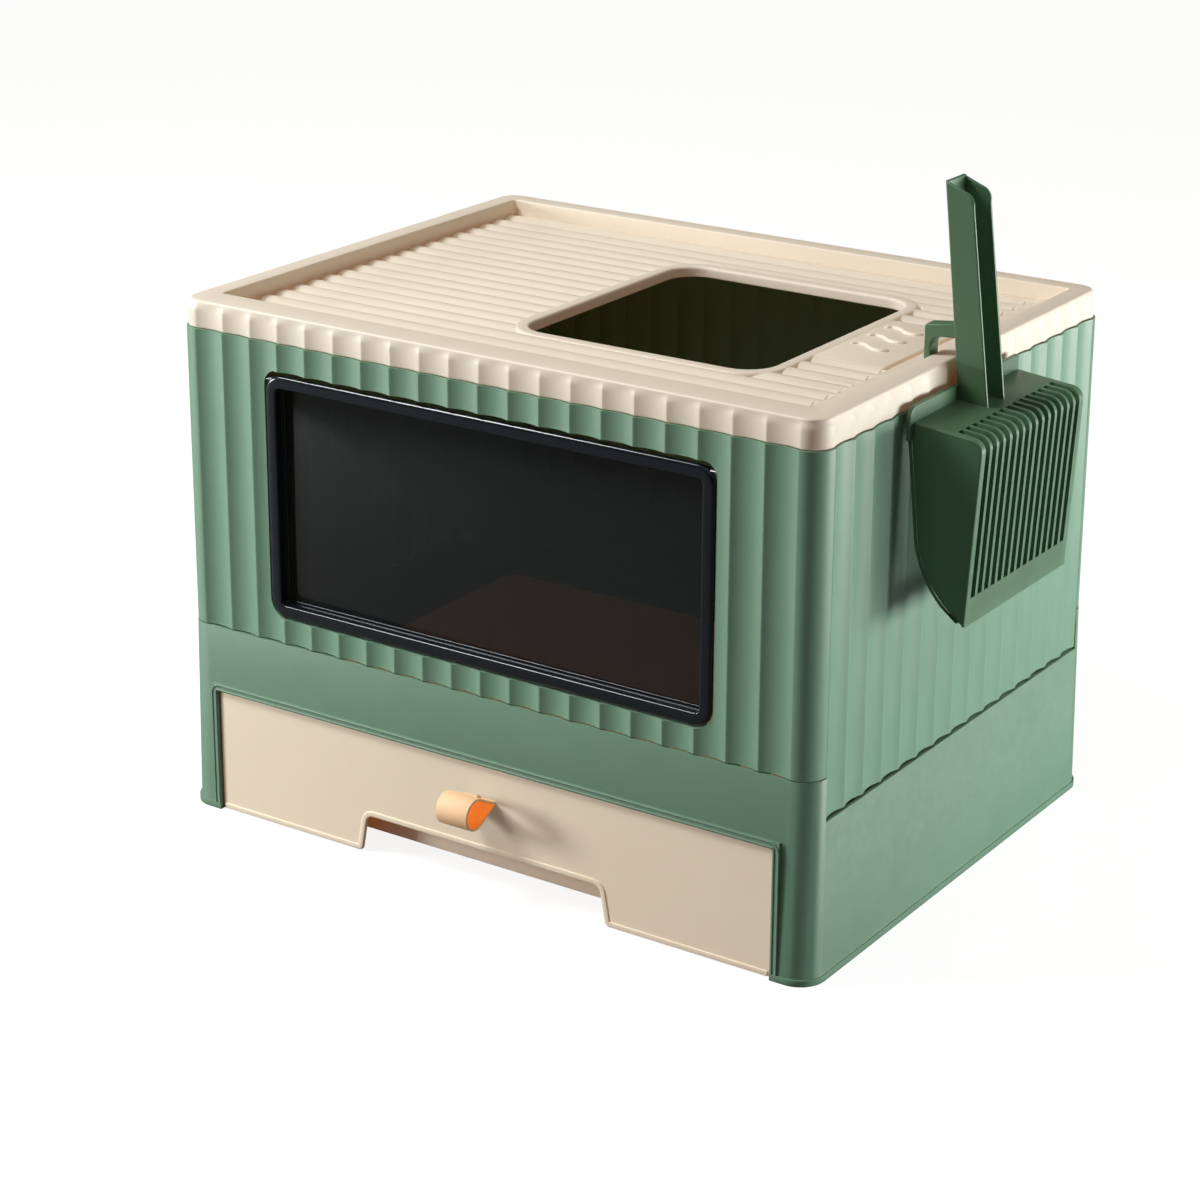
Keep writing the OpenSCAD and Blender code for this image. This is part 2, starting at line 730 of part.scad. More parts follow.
module basket_slots() {
  reach = 34;
  for (i = [0 : slots - 1])
    translate([0, scoop_y0 + scoop_t + (i + 0.75) * slot_pitch - slot_w / 2 - 0.5, 0])
      block([scoop_x1 - reach, 0, scoop_lip_z - scoop_h + 18], [scoop_x1 + 5, slot_w, scoop_top + 5]);
}

// Handle: a channel that is open away from the lid
module scoop_handle() {
  y0 = scoop_y - handle_w / 2;
  top_x = handle_x0 + 1 - handle_lean;
  difference() {
    along_y(y0, handle_w) polygon([
      [handle_x0 + 1, scoop_top - 1], [top_x, handle_top], [top_x + 13, handle_top - 3.5],
      [top_x + 19, handle_top - 6], [top_x + handle_d, handle_top - 10],
      [handle_x0 + handle_d, scoop_top - 1]]);
    along_y(y0 + scoop_t, handle_w - 2 * scoop_t) polygon([
      [handle_x0 + 1 + scoop_t, scoop_top - 2], [top_x + scoop_t, handle_top + 2],
      [top_x + 2 * handle_d, handle_top + 2], [handle_x0 + 2 * handle_d, scoop_top - 2]]);
  }
}

// Hook: a bar from the handle's back over the rim, and a leg down into the lid's pocket
module scoop_hook() {
  back_x = handle_x0 + 1 - handle_lean * (hook_bar_z - scoop_top) / handle_h;
  along_y(hook_y0, hook_w) polygon([
    [back_x + 1, hook_bar_z + 9], [hook_x, hook_bar_z + 5], [hook_x, pocket_floor + seat_gap],
    [hook_x + hook_t, pocket_floor + seat_gap], [hook_x + hook_t, hook_bar_z - 4],
    [back_x + 1, hook_bar_z - 1]]);
}

module scoop() {
  color([0.20, 0.30, 0.24]) union() {
    difference() {
      basket_shell();
      basket_slots();
    }
    block([scoop_in, scoop_y0 - scoop_t * 2, scoop_top],
          [scoop_in + scoop_t + 1, scoop_y0 - scoop_t * 2 + flange_w, scoop_top + flange_h]);
    scoop_handle();
    scoop_hook();
  }
}

base_frame();
front_panel();
back_panel();
left_panel();
right_panel();
front_hinge_pins();
back_hinge_pins();
left_hinge_pins();
right_hinge_pins();
drawer();
pull_tab();
pull_tab_pin();
door_frame();
door_pane();
door_hinge_pins();
lid();
scoop();
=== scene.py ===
import math
import bmesh
import bpy
import numpy as np
from mathutils import Matrix, Vector


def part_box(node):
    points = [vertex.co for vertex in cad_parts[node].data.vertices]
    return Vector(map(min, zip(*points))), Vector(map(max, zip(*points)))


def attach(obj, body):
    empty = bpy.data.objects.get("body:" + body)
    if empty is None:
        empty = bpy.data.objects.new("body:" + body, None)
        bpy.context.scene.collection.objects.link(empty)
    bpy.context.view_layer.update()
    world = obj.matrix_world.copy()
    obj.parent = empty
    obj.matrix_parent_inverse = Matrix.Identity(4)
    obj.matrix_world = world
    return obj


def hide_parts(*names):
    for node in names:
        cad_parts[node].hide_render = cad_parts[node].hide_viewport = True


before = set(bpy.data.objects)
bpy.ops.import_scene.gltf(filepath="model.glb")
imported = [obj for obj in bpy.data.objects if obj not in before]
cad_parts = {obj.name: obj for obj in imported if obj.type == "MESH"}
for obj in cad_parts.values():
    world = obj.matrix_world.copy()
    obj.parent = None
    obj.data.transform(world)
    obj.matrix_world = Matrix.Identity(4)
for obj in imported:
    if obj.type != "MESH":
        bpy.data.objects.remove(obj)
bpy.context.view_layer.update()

print("frame loaded:", len(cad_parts), "nodes")

mm = 0.001


def nodeBox(node):
    low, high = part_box(node)
    return np.array(low) / mm, np.array(high) / mm


# camera and light

cameraSet = {
    "place": (1.0946, -1.6804, 0.9062),
    "yaw": 33.943, "pitch": 18.406, "roll": 0.248,   # degrees
    "lens": 89.571, "shiftY": -0.1,
}


def makeCamera(s):
    yaw, pitch, roll = (math.radians(s[k]) for k in ("yaw", "pitch", "roll"))
    forward = Vector((-math.sin(yaw) * math.cos(pitch), math.cos(yaw) * math.cos(pitch), -math.sin(pitch)))
    right = forward.cross(Vector((0, 0, 1))).normalized()
    up = right.cross(forward)
    turnedRight = right * math.cos(roll) + up * math.sin(roll)
    turnedUp = up * math.cos(roll) - right * math.sin(roll)
    data = bpy.data.cameras.new("camera")
    data.lens = s["lens"]
    data.sensor_width = 36                 # millimetres
    data.shift_y = s["shiftY"]
    data.clip_end = 50
    camera = bpy.data.objects.new("camera", data)
    turn = Matrix((turnedRight, turnedUp, -forward)).transposed()
    camera.matrix_world = Matrix.Translation(s["place"]) @ turn.to_4x4()
    bpy.context.scene.collection.objects.link(camera)
    bpy.context.scene.camera = camera


makeCamera(cameraSet)

lightSet = {
    "sky": 0.55, "skyTint": (1.0, 0.93, 0.84),    # light from straight above
    "fade": (0.25, 1.0),                        # sines of the heights where it starts and is full
    "high": {"place": (-1.3, -1.0, 1.95), "aim": (0, -0.1, 0.3), "size": 0.7, "tall": 0.7, "watts": 38},
    "low": {"place": (-1.9, -1.2, 0.5), "aim": (0, -0.2, 0.2), "size": 0.5, "tall": 0.5, "watts": 31},
    "side": {"place": (1.4, 0.62, 0.2), "aim": (0.25, 0, 0.2), "size": 1.0, "tall": 0.34, "watts": 22},
}


def areaLight(name, s):
    data = bpy.data.lights.new(name, "AREA")
    data.shape = "RECTANGLE"
    data.size, data.size_y = s["size"], s["tall"]
    data.energy = s["watts"]
    lamp = bpy.data.objects.new(name, data)
    aim = Vector(s["aim"]) - Vector(s["place"])
    lamp.matrix_world = Matrix.Translation(s["place"]) @ aim.to_track_quat("-Z", "Y").to_matrix().to_4x4()
    lamp.visible_camera = False
    bpy.context.scene.collection.objects.link(lamp)


def makeWorld(s):
    # soft warm light from above that fades to nothing at the horizon, white for the camera
    world = bpy.data.worlds.new("studio")
    bpy.context.scene.world = world
    world.use_nodes = True
    nodes, links = world.node_tree.nodes, world.node_tree.links
    nodes.clear()
    out = nodes.new("ShaderNodeOutputWorld")
    soft = nodes.new("ShaderNodeBackground")
    soft.inputs["Color"].default_value = (*s["skyTint"], 1)
    place = nodes.new("ShaderNodeTexCoord")
    height = nodes.new("ShaderNodeSeparateXYZ")
    fade = nodes.new("ShaderNodeMapRange")
    fade.interpolation_type = "SMOOTHSTEP"
    ends = {"From Min": s["fade"][0], "From Max": s["fade"][1], "To Min": 0.0, "To Max": s["sky"]}
    for label, v in ends.items():
        fade.inputs[label].default_value = v
    links.new(place.outputs["Generated"], height.inputs[0])
    links.new(height.outputs["Z"], fade.inputs["Value"])
    links.new(fade.outputs[0], soft.inputs["Strength"])
    white = nodes.new("ShaderNodeBackground")
    pick = nodes.new("ShaderNodeMixShader")
    path = nodes.new("ShaderNodeLightPath")
    links.new(path.outputs["Is Camera Ray"], pick.inputs[0])
    links.new(soft.outputs[0], pick.inputs[1])
    links.new(white.outputs[0], pick.inputs[2])
    links.new(pick.outputs[0], out.inputs[0])


makeWorld(lightSet)
for lampName in ("high", "low", "side"):
    areaLight(lampName, lightSet[lampName])
bpy.context.scene.view_settings.view_transform = "Standard"
print("camera and light ready")


# materials

def linear(rgb):
    # screen colour 0..255 to the linear colour that the shader takes
    c = np.array(rgb) / 255
    return (*np.where(c <= 0.04045, c / 12.92, ((c + 0.055) / 1.055) ** 2.4), 1.0)


def newGroup(name, inputs, outputs):
    group = bpy.data.node_groups.new(name, "ShaderNodeTree")
    for label, kind, value in inputs:
        socket = group.interface.new_socket(label, in_out="INPUT", socket_type=kind)
        socket.default_value = value
    for label, kind in outputs:
        group.interface.new_socket(label, in_out="OUTPUT", socket_type=kind)
    return group, group.nodes.new("NodeGroupInput"), group.nodes.new("NodeGroupOutput")


def noiseNode(tree, scaleFrom, scale, detail, rough=0.5):
    # noise on object coordinates; scale is in cells per metre
    place = tree.nodes.new("ShaderNodeTexCoord")
    noise = tree.nodes.new("ShaderNodeTexNoise")
    noise.inputs["Scale"].default_value = scale
    noise.inputs["Detail"].default_value = detail
    noise.inputs["Roughness"].default_value = rough
    tree.links.new(place.outputs["Object"], noise.inputs["Vector"])
    if scaleFrom is not None:
        tree.links.new(scaleFrom, noise.inputs["Scale"])
    return noise


def rangeNode(tree, value, low, high, outLow, outHigh):
    spread = tree.nodes.new("ShaderNodeMapRange")
    tree.links.new(value, spread.inputs["Value"])
    for label, v in (("From Min", low), ("From Max", high), ("To Min", outLow), ("To Max", outHigh)):
        spread.inputs[label].default_value = v
    return spread


def mathNode(tree, operation, a, b):
    node = tree.nodes.new("ShaderNodeMath")
    node.operation = operation
    for slot, v in ((0, a), (1, b)):
        if isinstance(v, (int, float)):
            node.inputs[slot].default_value = v
        else:
            tree.links.new(v, node.inputs[slot])
    return node.outputs[0]


def mixColour(tree, factor, a, b, blend="MIX"):
    node = tree.nodes.new("ShaderNodeMix")
    node.data_type = "RGBA"
    node.blend_type = blend
    if isinstance(factor, (int, float)):
        node.inputs[0].default_value = factor
    else:
        tree.links.new(factor, node.inputs[0])
    for slot, v in ((6, a), (7, b)):
        if isinstance(v, tuple):
            node.inputs[slot].default_value = v
        else:
            tree.links.new(v, node.inputs[slot])
    return node.outputs[2]


mouldSet = {
    "tone": 7.0, "streak": 45.0, "streakShare": 0.4,      # cells per metre of the drift and the streaks
    "middle": 0.7, "streakRough": 0.14,
}


def mouldGroup(s):
    # moulded plastic: a slow drift of tone, faint flow streaks, fine satin grain
    group, into, out = newGroup("mouldedSkin", [
        ("Colour", "NodeSocketColor", (0.5, 0.5, 0.5, 1)), ("Drift", "NodeSocketFloat", 0.06),
        ("Roughness", "NodeSocketFloat", 0.4), ("Grain Scale", "NodeSocketFloat", 1800.0)],
        [("Colour", "NodeSocketColor"), ("Roughness", "NodeSocketFloat"), ("Height", "NodeSocketFloat")])
    tone = noiseNode(group, None, s["tone"], 3.0)
    streak = noiseNode(group, None, s["streak"], 2.0)
    grain = noiseNode(group, into.outputs["Grain Scale"], 1800.0, 2.0)
    streaks = mathNode(group, "MULTIPLY", streak.outputs[0], s["streakShare"])
    both = mathNode(group, "ADD", tone.outputs[0], streaks)
    centred = mathNode(group, "SUBTRACT", both, s["middle"])
    shade = mathNode(group, "ADD", mathNode(group, "MULTIPLY", centred, into.outputs["Drift"]), 1.0)
    comb = group.nodes.new("ShaderNodeCombineColor")
    for slot in range(3):
        group.links.new(shade, comb.inputs[slot])
    tinted = mixColour(group, 1.0, into.outputs["Colour"], comb.outputs[0], "MULTIPLY")
    swing = mathNode(group, "SUBTRACT", streak.outputs[0], 0.5)
    change = mathNode(group, "MULTIPLY", swing, s["streakRough"])
    rough = mathNode(group, "ADD", into.outputs["Roughness"], change)
    group.links.new(tinted, out.inputs["Colour"])
    group.links.new(rough, out.inputs["Roughness"])
    group.links.new(grain.outputs[0], out.inputs["Height"])
    return group


wearSet = {
    "patches": 130.0, "flecks": 420.0,                    # cells per metre
    "ridge": (0.51, 0.6), "fleck": (0.6, 0.78), "upward": (0.2, 1.0), "upwardLeast": 0.15,
    "dustColour": (0.72, 0.69, 0.63, 1), "dustRough": 0.5,
}


def wearGroup(s):
    # rubbed edges a little lighter, flecks of dust on upward faces a little paler and duller
    group, into, out = newGroup("edgeRubAndDust", [
        ("Colour", "NodeSocketColor", (0.5, 0.5, 0.5, 1)), ("Roughness", "NodeSocketFloat", 0.4),
        ("Rub Colour", "NodeSocketColor", (1, 1, 1, 1)), ("Rub", "NodeSocketFloat", 0.2),
        ("Dust", "NodeSocketFloat", 0.1)],
        [("Colour", "NodeSocketColor"), ("Roughness", "NodeSocketFloat")])
    geometry = group.nodes.new("ShaderNodeNewGeometry")
    patches = noiseNode(group, None, s["patches"], 3.0, 0.6)
    ridge = rangeNode(group, geometry.outputs["Pointiness"], *s["ridge"], 0.0, 1.0)
    broken = mathNode(group, "MULTIPLY", ridge.outputs[0], patches.outputs[0])
    rub = mathNode(group, "MULTIPLY", broken, into.outputs["Rub"])
    flecks = noiseNode(group, None, s["flecks"], 4.0, 0.7)
    fleck = rangeNode(group, flecks.outputs[0], *s["fleck"], 0.0, 1.0)
    up = group.nodes.new("ShaderNodeSeparateXYZ")
    group.links.new(geometry.outputs["Normal"], up.inputs[0])
    upward = rangeNode(group, up.outputs["Z"], *s["upward"], s["upwardLeast"], 1.0)
    dust = mathNode(group, "MULTIPLY", mathNode(group, "MULTIPLY", fleck.outputs[0], upward.outputs[0]),
                    into.outputs["Dust"])
    rubbed = mixColour(group, rub, into.outputs["Colour"], into.outputs["Rub Colour"])
    dusty = mixColour(group, dust, rubbed, s["dustColour"])
    duller = mathNode(group, "MULTIPLY", dust, s["dustRough"])
    rough = mathNode(group, "ADD", into.outputs["Roughness"], duller)
    group.links.new(dusty, out.inputs["Colour"])
    group.links.new(rough, out.inputs["Roughness"])
    return group


mouldedSkin = mouldGroup(mouldSet)
edgeRubAndDust = wearGroup(wearSet)
grainHeight = 0.0004                       # metres

plasticSet = {
    "hoodGreen": {"colour": (119, 156, 131), "rub": (176, 200, 180), "rough": 0.42, "drift": 0.10,
                  "grain": 1700, "bump": 0.05, "dust": 0.10, "rubAmount": 0.25},
    "baseGreen": {"colour": (108, 142, 119), "rub": (170, 196, 176), "rough": 0.42, "drift": 0.10,
                  "grain": 1700, "bump": 0.05, "dust": 0.10, "rubAmount": 0.25},
    "scoopGreen": {"colour": (80, 114, 84), "rub": (130, 170, 138), "rough": 0.40, "drift": 0.12,
                   "grain": 1500, "bump": 0.03, "dust": 0.08, "rubAmount": 0.3},
    # lid, drawer and strap carry a painted glow, warm light of their own that lifts their shade
    "lidBeige": {"colour": (232, 226, 210), "rub": (246, 238, 224), "rough": 0.48, "drift": 0.07,
                 "grain": 1700, "bump": 0.05, "dust": 0.05, "rubAmount": 0.3,
                 "glow": (255, 148, 60), "glowStrength": 0.06},
    "drawerBeige": {"colour": (249, 237, 214), "rub": (246, 236, 222), "rough": 0.46, "drift": 0.07,
                    "grain": 1700, "bump": 0.05, "dust": 0.05, "rubAmount": 0.3,
                    "glow": (255, 148, 60), "glowStrength": 0.05},
    "strapOrange": {"colour": (246, 202, 152), "rub": (255, 225, 185), "rough": 0.6, "drift": 0.12,
                    "grain": 900, "bump": 0.08, "dust": 0.03, "rubAmount": 0.4,
                    "glow": (255, 130, 20), "glowStrength": 0.36},
    "frameBlack": {"colour": (20, 25, 32), "rub": (60, 66, 76), "rough": 0.16, "drift": 0.15,
                   "grain": 1200, "bump": 0.02, "dust": 0.05, "rubAmount": 0.35},
}


def plastic(name):
    s = plasticSet[name]
    material = bpy.data.materials.new(name)
    material.use_nodes = True
    tree = material.node_tree
    shader = tree.nodes["Principled BSDF"]
    skin = tree.nodes.new("ShaderNodeGroup")
    skin.node_tree = mouldedSkin
    skin.inputs["Colour"].default_value = linear(s["colour"])
    skin.inputs["Drift"].default_value = s["drift"]
    skin.inputs["Roughness"].default_value = s["rough"]
    skin.inputs["Grain Scale"].default_value = s["grain"]
    wear = tree.nodes.new("ShaderNodeGroup")
    wear.node_tree = edgeRubAndDust
    wear.inputs["Rub Colour"].default_value = linear(s["rub"])
    wear.inputs["Rub"].default_value = s["rubAmount"]
    wear.inputs["Dust"].default_value = s["dust"]
    bump = tree.nodes.new("ShaderNodeBump")
    bump.inputs["Strength"].default_value = s["bump"]
    bump.inputs["Distance"].default_value = grainHeight
    tree.links.new(skin.outputs["Colour"], wear.inputs["Colour"])
    tree.links.new(skin.outputs["Roughness"], wear.inputs["Roughness"])
    tree.links.new(skin.outputs["Height"], bump.inputs["Height"])
    tree.links.new(wear.outputs["Colour"], shader.inputs["Base Color"])
    tree.links.new(wear.outputs["Roughness"], shader.inputs["Roughness"])
    tree.links.new(bump.outputs[0], shader.inputs["Normal"])
    if "glow" in s:
        # painted glow: the plastic gives off a little warm light of its own, which lifts and warms its shade
        shader.inputs["Emission Color"].default_value = linear(s["glow"])
        shader.inputs["Emission Strength"].default_value = s["glowStrength"]
    return material


def strapPaintedSides(material, s):
    # painted light on the strap: its outer side and edges painted pale as if lit, its inner side a deeper
    # orange with a stronger painted glow; the distance from the loop's middle tells them apart round the
    # loop,
    #     # and along the two straight runs the distance along their normal does
    tree = material.node_tree
    place = tree.nodes.new("ShaderNodeTexCoord")
    offset = tree.nodes.new("ShaderNodeVectorMath")
    offset.operation = "SUBTRACT"
    offset.inputs[1].default_value = s["middle"]
    flat = tree.nodes.new("ShaderNodeVectorMath")
    flat.operation = "MULTIPLY"
    flat.inputs[1].default_value = (0, 1, 1)
    far = tree.nodes.new("ShaderNodeVectorMath")
    far.operation = "LENGTH"
    split = tree.nodes.new("ShaderNodeSeparateXYZ")
    tree.links.new(place.outputs["Object"], offset.inputs[0])
    tree.links.new(offset.outputs["Vector"], flat.inputs[0])
    tree.links.new(flat.outputs["Vector"], far.inputs[0])
    tree.links.new(offset.outputs["Vector"], split.inputs[0])
    height = mathNode(tree, "ABSOLUTE", split.outputs["Z"], 0.0)
    onRun = mathNode(tree, "ADD", mathNode(tree, "MULTIPLY", split.outputs["Y"], s["normal"][0]),
                     mathNode(tree, "MULTIPLY", height, s["normal"][1]))
    pastLoop = mathNode(tree, "GREATER_THAN", split.outputs["Y"], s["tangent"])
    change = mathNode(tree, "MULTIPLY", mathNode(tree, "SUBTRACT", onRun, far.outputs["Value"]), pastLoop)
    out = mathNode(tree, "ADD", far.outputs["Value"], change)
    side = rangeNode(tree, out, s["inner"], s["outer"], 0.0, 1.0).outputs[0]
    skin = next(n for n in tree.nodes if n.type == "GROUP" and n.node_tree == mouldedSkin)
    tree.links.new(mixColour(tree, side, linear(s["deep"]), linear(s["pale"])), skin.inputs["Colour"])
    shader = tree.nodes["Principled BSDF"]
    tree.links.new(mixColour(tree, side, linear(s["deepGlow"]), linear(s["paleGlow"])),
                   shader.inputs["Emission Color"])


# pale is the painted lit look of the strap's outer side and edges; deepGlow and paleGlow are painted glow
strapPaintedTone = {"middle": (0, -0.219, 0.066), "normal": (0.465, 0.885), "tangent": 0.0048,
             "inner": 0.0094, "outer": 0.0098, "deep": (250, 110, 8), "pale": (252, 212, 168),
             "deepGlow": (255, 132, 4), "paleGlow": (140, 88, 45)}
paneSet = {"colour": (0.013, 0.0155, 0.0165, 1), "smear": 14.0, "smearRange": (0.3, 0.8),
           "rough": (0.06, 0.16), "alpha": (0.7, 0.76)}
pinSet = {"scratches": 2600.0, "scratchRange": (0.3, 0.7), "rough": (0.22, 0.42),
          "dark": (108, 110, 114), "pale": (140, 142, 146)}


def smokedPane(s):
    # smoked clear sheet: see-through with faint smears in its gloss
    material = bpy.data.materials.new("smokedPane")
    material.use_nodes = True
    tree = material.node_tree
    shader = tree.nodes["Principled BSDF"]
    shader.inputs["Transmission Weight"].default_value = 0.0
    shader.inputs["Base Color"].default_value = s["colour"]
    smear = noiseNode(tree, None, s["smear"], 4.0, 0.6)
    rough = rangeNode(tree, smear.outputs[0], *s["smearRange"], *s["rough"])
    alpha = rangeNode(tree, smear.outputs[0], *s["smearRange"], *s["alpha"])
    tree.links.new(rough.outputs[0], shader.inputs["Roughness"])
    tree.links.new(alpha.outputs[0], shader.inputs["Alpha"])
    return material


def pinSteel(s):
    # drawn wire with fine scratches
    material = bpy.data.materials.new("pinSteel")
    material.use_nodes = True
    tree = material.node_tree
    shader = tree.nodes["Principled BSDF"]
    shader.inputs["Metallic"].default_value = 1.0
    scratch = noiseNode(tree, None, s["scratches"], 2.0)
    tone = rangeNode(tree, scratch.outputs[0], *s["scratchRange"], *s["rough"])
    tree.links.new(tone.outputs[0], shader.inputs["Roughness"])
    tint = mixColour(tree, scratch.outputs[0], linear(s["dark"]), linear(s["pale"]))
    tree.links.new(tint, shader.inputs["Base Color"])
    return material


materials = {name: plastic(name) for name in plasticSet}
strapPaintedSides(materials["strapOrange"], strapPaintedTone)
materials["smokedPane"] = smokedPane(paneSet)
materials["pinSteel"] = pinSteel(pinSet)
print("materials ready")


# floor

floorSet = {"half": 6.0, "pale": 0.86, "rough": 0.7, "glow": 1.22, "glowShare": 0.72,
            "bounce": 0.12}                # its colour for light that it throws back


def makeFloor(s):
    # pale floor that the camera sees as white where nothing shades it
    half = s["half"]
    mesh = bpy.data.meshes.new("floor")
    corners = [(-half, -half, 0), (half, -half, 0), (half, half, 0), (-half, half, 0)]
    mesh.from_pydata(corners, [], [(0, 1, 2, 3)])
    floor = bpy.data.objects.new("floor", mesh)
    bpy.context.scene.collection.objects.link(floor)
    material = bpy.data.materials.new("paleFloor")
    material.use_nodes = True
    tree = material.node_tree
    shader = tree.nodes["Principled BSDF"]
    shader.inputs["Roughness"].default_value = s["rough"]
    glow = tree.nodes.new("ShaderNodeEmission")
    glow.inputs["Strength"].default_value = s["glow"]
    pick = tree.nodes.new("ShaderNodeMixShader")
    path = tree.nodes.new("ShaderNodeLightPath")
    dim, pale = (s["bounce"],) * 3 + (1,), (s["pale"],) * 3 + (1,)
    tree.links.new(mixColour(tree, path.outputs["Is Camera Ray"], dim, pale), shader.inputs["Base Color"])
    weight = mathNode(tree, "MULTIPLY", path.outputs["Is Camera Ray"], s["glowShare"])
    tree.links.new(weight, pick.inputs[0])
    tree.links.new(shader.outputs[0], pick.inputs[1])
    tree.links.new(glow.outputs[0], pick.inputs[2])
    tree.links.new(pick.outputs[0], tree.nodes["Material Output"].inputs[0])
    mesh.materials.append(material)


makeFloor(floorSet)


# making surfaces

def grid(points, wrapRows=False, wrapColumns=False, keep=None):
    # points[rows, columns, 3] become quads between neighbours; wrap joins the last to the first
    rows, columns = points.shape[:2]
    number = np.arange(rows * columns).reshape(rows, columns)
    if wrapRows:
        number = np.vstack([number, number[:1]])
    if wrapColumns:
        number = np.hstack([number, number[:, :1]])
    quads = np.stack([number[:-1, :-1], number[:-1, 1:], number[1:, 1:], number[1:, :-1]], axis=-1)
    if keep is not None:
        quads = quads[keep]
    return points.reshape(-1, 3), quads.reshape(-1, 4).tolist()


def lidded(points):
    # a tube of rows, each a closed loop, with a flat face on its first and last loop
    shell, faces = grid(points, wrapColumns=True)
    rows, columns = points.shape[:2]
    faces.append(list(range(columns))[::-1])
    faces.append(list(range((rows - 1) * columns, rows * columns)))
    return shell, faces


def turned(shell):
    points, faces = shell
    return points, [f[::-1] for f in faces]


def roundBox(low, high, radius, steps=3):
    # a sphere of the edge radius whose eight parts are pushed out to the corners of the box
    low, high = np.array(low, float), np.array(high, float)
    half = (high - low) / 2
    rise = np.linspace(0, np.pi / 2, steps + 1)
    tilt = np.concatenate([-rise[::-1], rise])
    side = np.repeat([-1, 1], steps + 1)
    turn = np.concatenate([rise + k * np.pi / 2 for k in range(4)])
    signX = np.repeat([1, -1, -1, 1], steps + 1)
    signY = np.repeat([1, 1, -1, -1], steps + 1)
    x = (half[0] - radius) * signX[None] + radius * np.cos(tilt)[:, None] * np.cos(turn)[None]
    y = (half[1] - radius) * signY[None] + radius * np.cos(tilt)[:, None] * np.sin(turn)[None]
    z = np.broadcast_to(((half[2] - radius) * side + radius * np.sin(tilt))[:, None], x.shape)
    return lidded(np.stack([x, y, z], axis=-1) + (low + high) / 2)


def roundBar(start, end, radius, soft=0.4, sides=24):
    # a circle carried from start to end, smaller at both ends by a quarter round
    start, end = np.array(start, float), np.array(end, float)
    along = (end - start) / np.linalg.norm(end - start)
    across = np.cross(along, [0.0, 0.0, 1.0] if abs(along[2]) < 0.9 else [1.0, 0.0, 0.0])
    across /= np.linalg.norm(across)
    other = np.cross(along, across)
    bend = np.linspace(0, np.pi / 2, 4)
    length = np.linalg.norm(end - start)
    place = np.concatenate([soft * (1 - np.cos(bend)), length - soft * (1 - np.cos(bend[::-1]))])
    size = np.concatenate([radius - soft + soft * np.sin(bend), radius - soft + soft * np.sin(bend[::-1])])
    turn = np.linspace(0, 2 * np.pi, sides, endpoint=False)
    circle = np.cos(turn)[:, None] * across + np.sin(turn)[:, None] * other
    points = start + place[:, None, None] * along + size[:, None, None] * circle[None]
    return lidded(points)


def sweep(path, up, size, high=1.0, square=1.0):
    # an oval carried along a path; square below 1 makes the oval boxy
    path, up = np.array(path, float), np.array(up, float)
    way = np.gradient(path, axis=0)
    way /= np.linalg.norm(way, axis=1)[:, None]
    across = np.cross(up, way)
    turn = np.linspace(0, 2 * np.pi, 16, endpoint=False)
    side, rise = (np.sign(v) * np.abs(v) ** square for v in (np.cos(turn), np.sin(turn)))
    size = np.broadcast_to(size, len(path))[:, None, None]
    points = path[:, None] + across[:, None] * side[None, :, None] * size
    return lidded(points + up * rise[None, :, None] * size * high)


def roundedPath(points, radii, closed=True, steps=6):
    # each corner of a line becomes the arc that touches both of its edges
    points = np.array(points, float)
    out = []
    for k, r in enumerate(radii):
        corner = points[k]
        if not r or not closed and k in (0, len(points) - 1):
            out.append(corner[None])
            continue
        a, b = points[k - 1] - corner, points[(k + 1) % len(points)] - corner
        a, b = a / np.linalg.norm(a), b / np.linalg.norm(b)
        half = np.arccos(np.clip(a @ b, -1, 1)) / 2
        centre = corner + (a + b) / np.linalg.norm(a + b) * r / np.sin(half)
        first, last = corner + a * r / np.tan(half) - centre, corner + b * r / np.tan(half) - centre
        angle = np.pi - 2 * half
        t = np.linspace(0, 1, steps + 1)[:, None]
        out.append(centre + (np.sin((1 - t) * angle) * first + np.sin(t * angle) * last) / np.sin(angle))
    return np.concatenate(out)


def arcPoints(centre, radius, first, last, steps=5):
    # points on a circle between two angles in degrees
    turn = np.radians(np.linspace(first, last, steps + 1))
    return np.stack([centre[0] + radius * np.cos(turn), centre[1] + radius * np.sin(turn)], axis=-1)


def offsetPath(path, amount):
    # an open path moved sideways along the mean normal of its edges
    way = np.gradient(path, axis=0)
    way /= np.linalg.norm(way, axis=1)[:, None]
    return path + np.stack([way[:, 1], -way[:, 0]], axis=-1) * amount


def inset(outline, amount):
    # each point of a closed outline moves inwards along the mean of its two edge normals
    before, after = outline - np.roll(outline, 1, axis=0), np.roll(outline, -1, axis=0) - outline
    a, b = (v / np.maximum(np.linalg.norm(v, axis=1), 1e-9)[:, None] for v in (before, after))
    way = np.stack([-(a + b)[:, 1], (a + b)[:, 0]], axis=-1)
    way /= np.maximum(np.linalg.norm(way, axis=1), 1e-9)[:, None]
    cosine = np.clip((a * b).sum(axis=1), -0.6, 1)        # of the turn from one edge to the next
    return outline + way * (amount / np.sqrt((1 + cosine) / 2))[:, None]


capInset = 0.3                             # a narrow flat ring inside each rounded edge of a plate


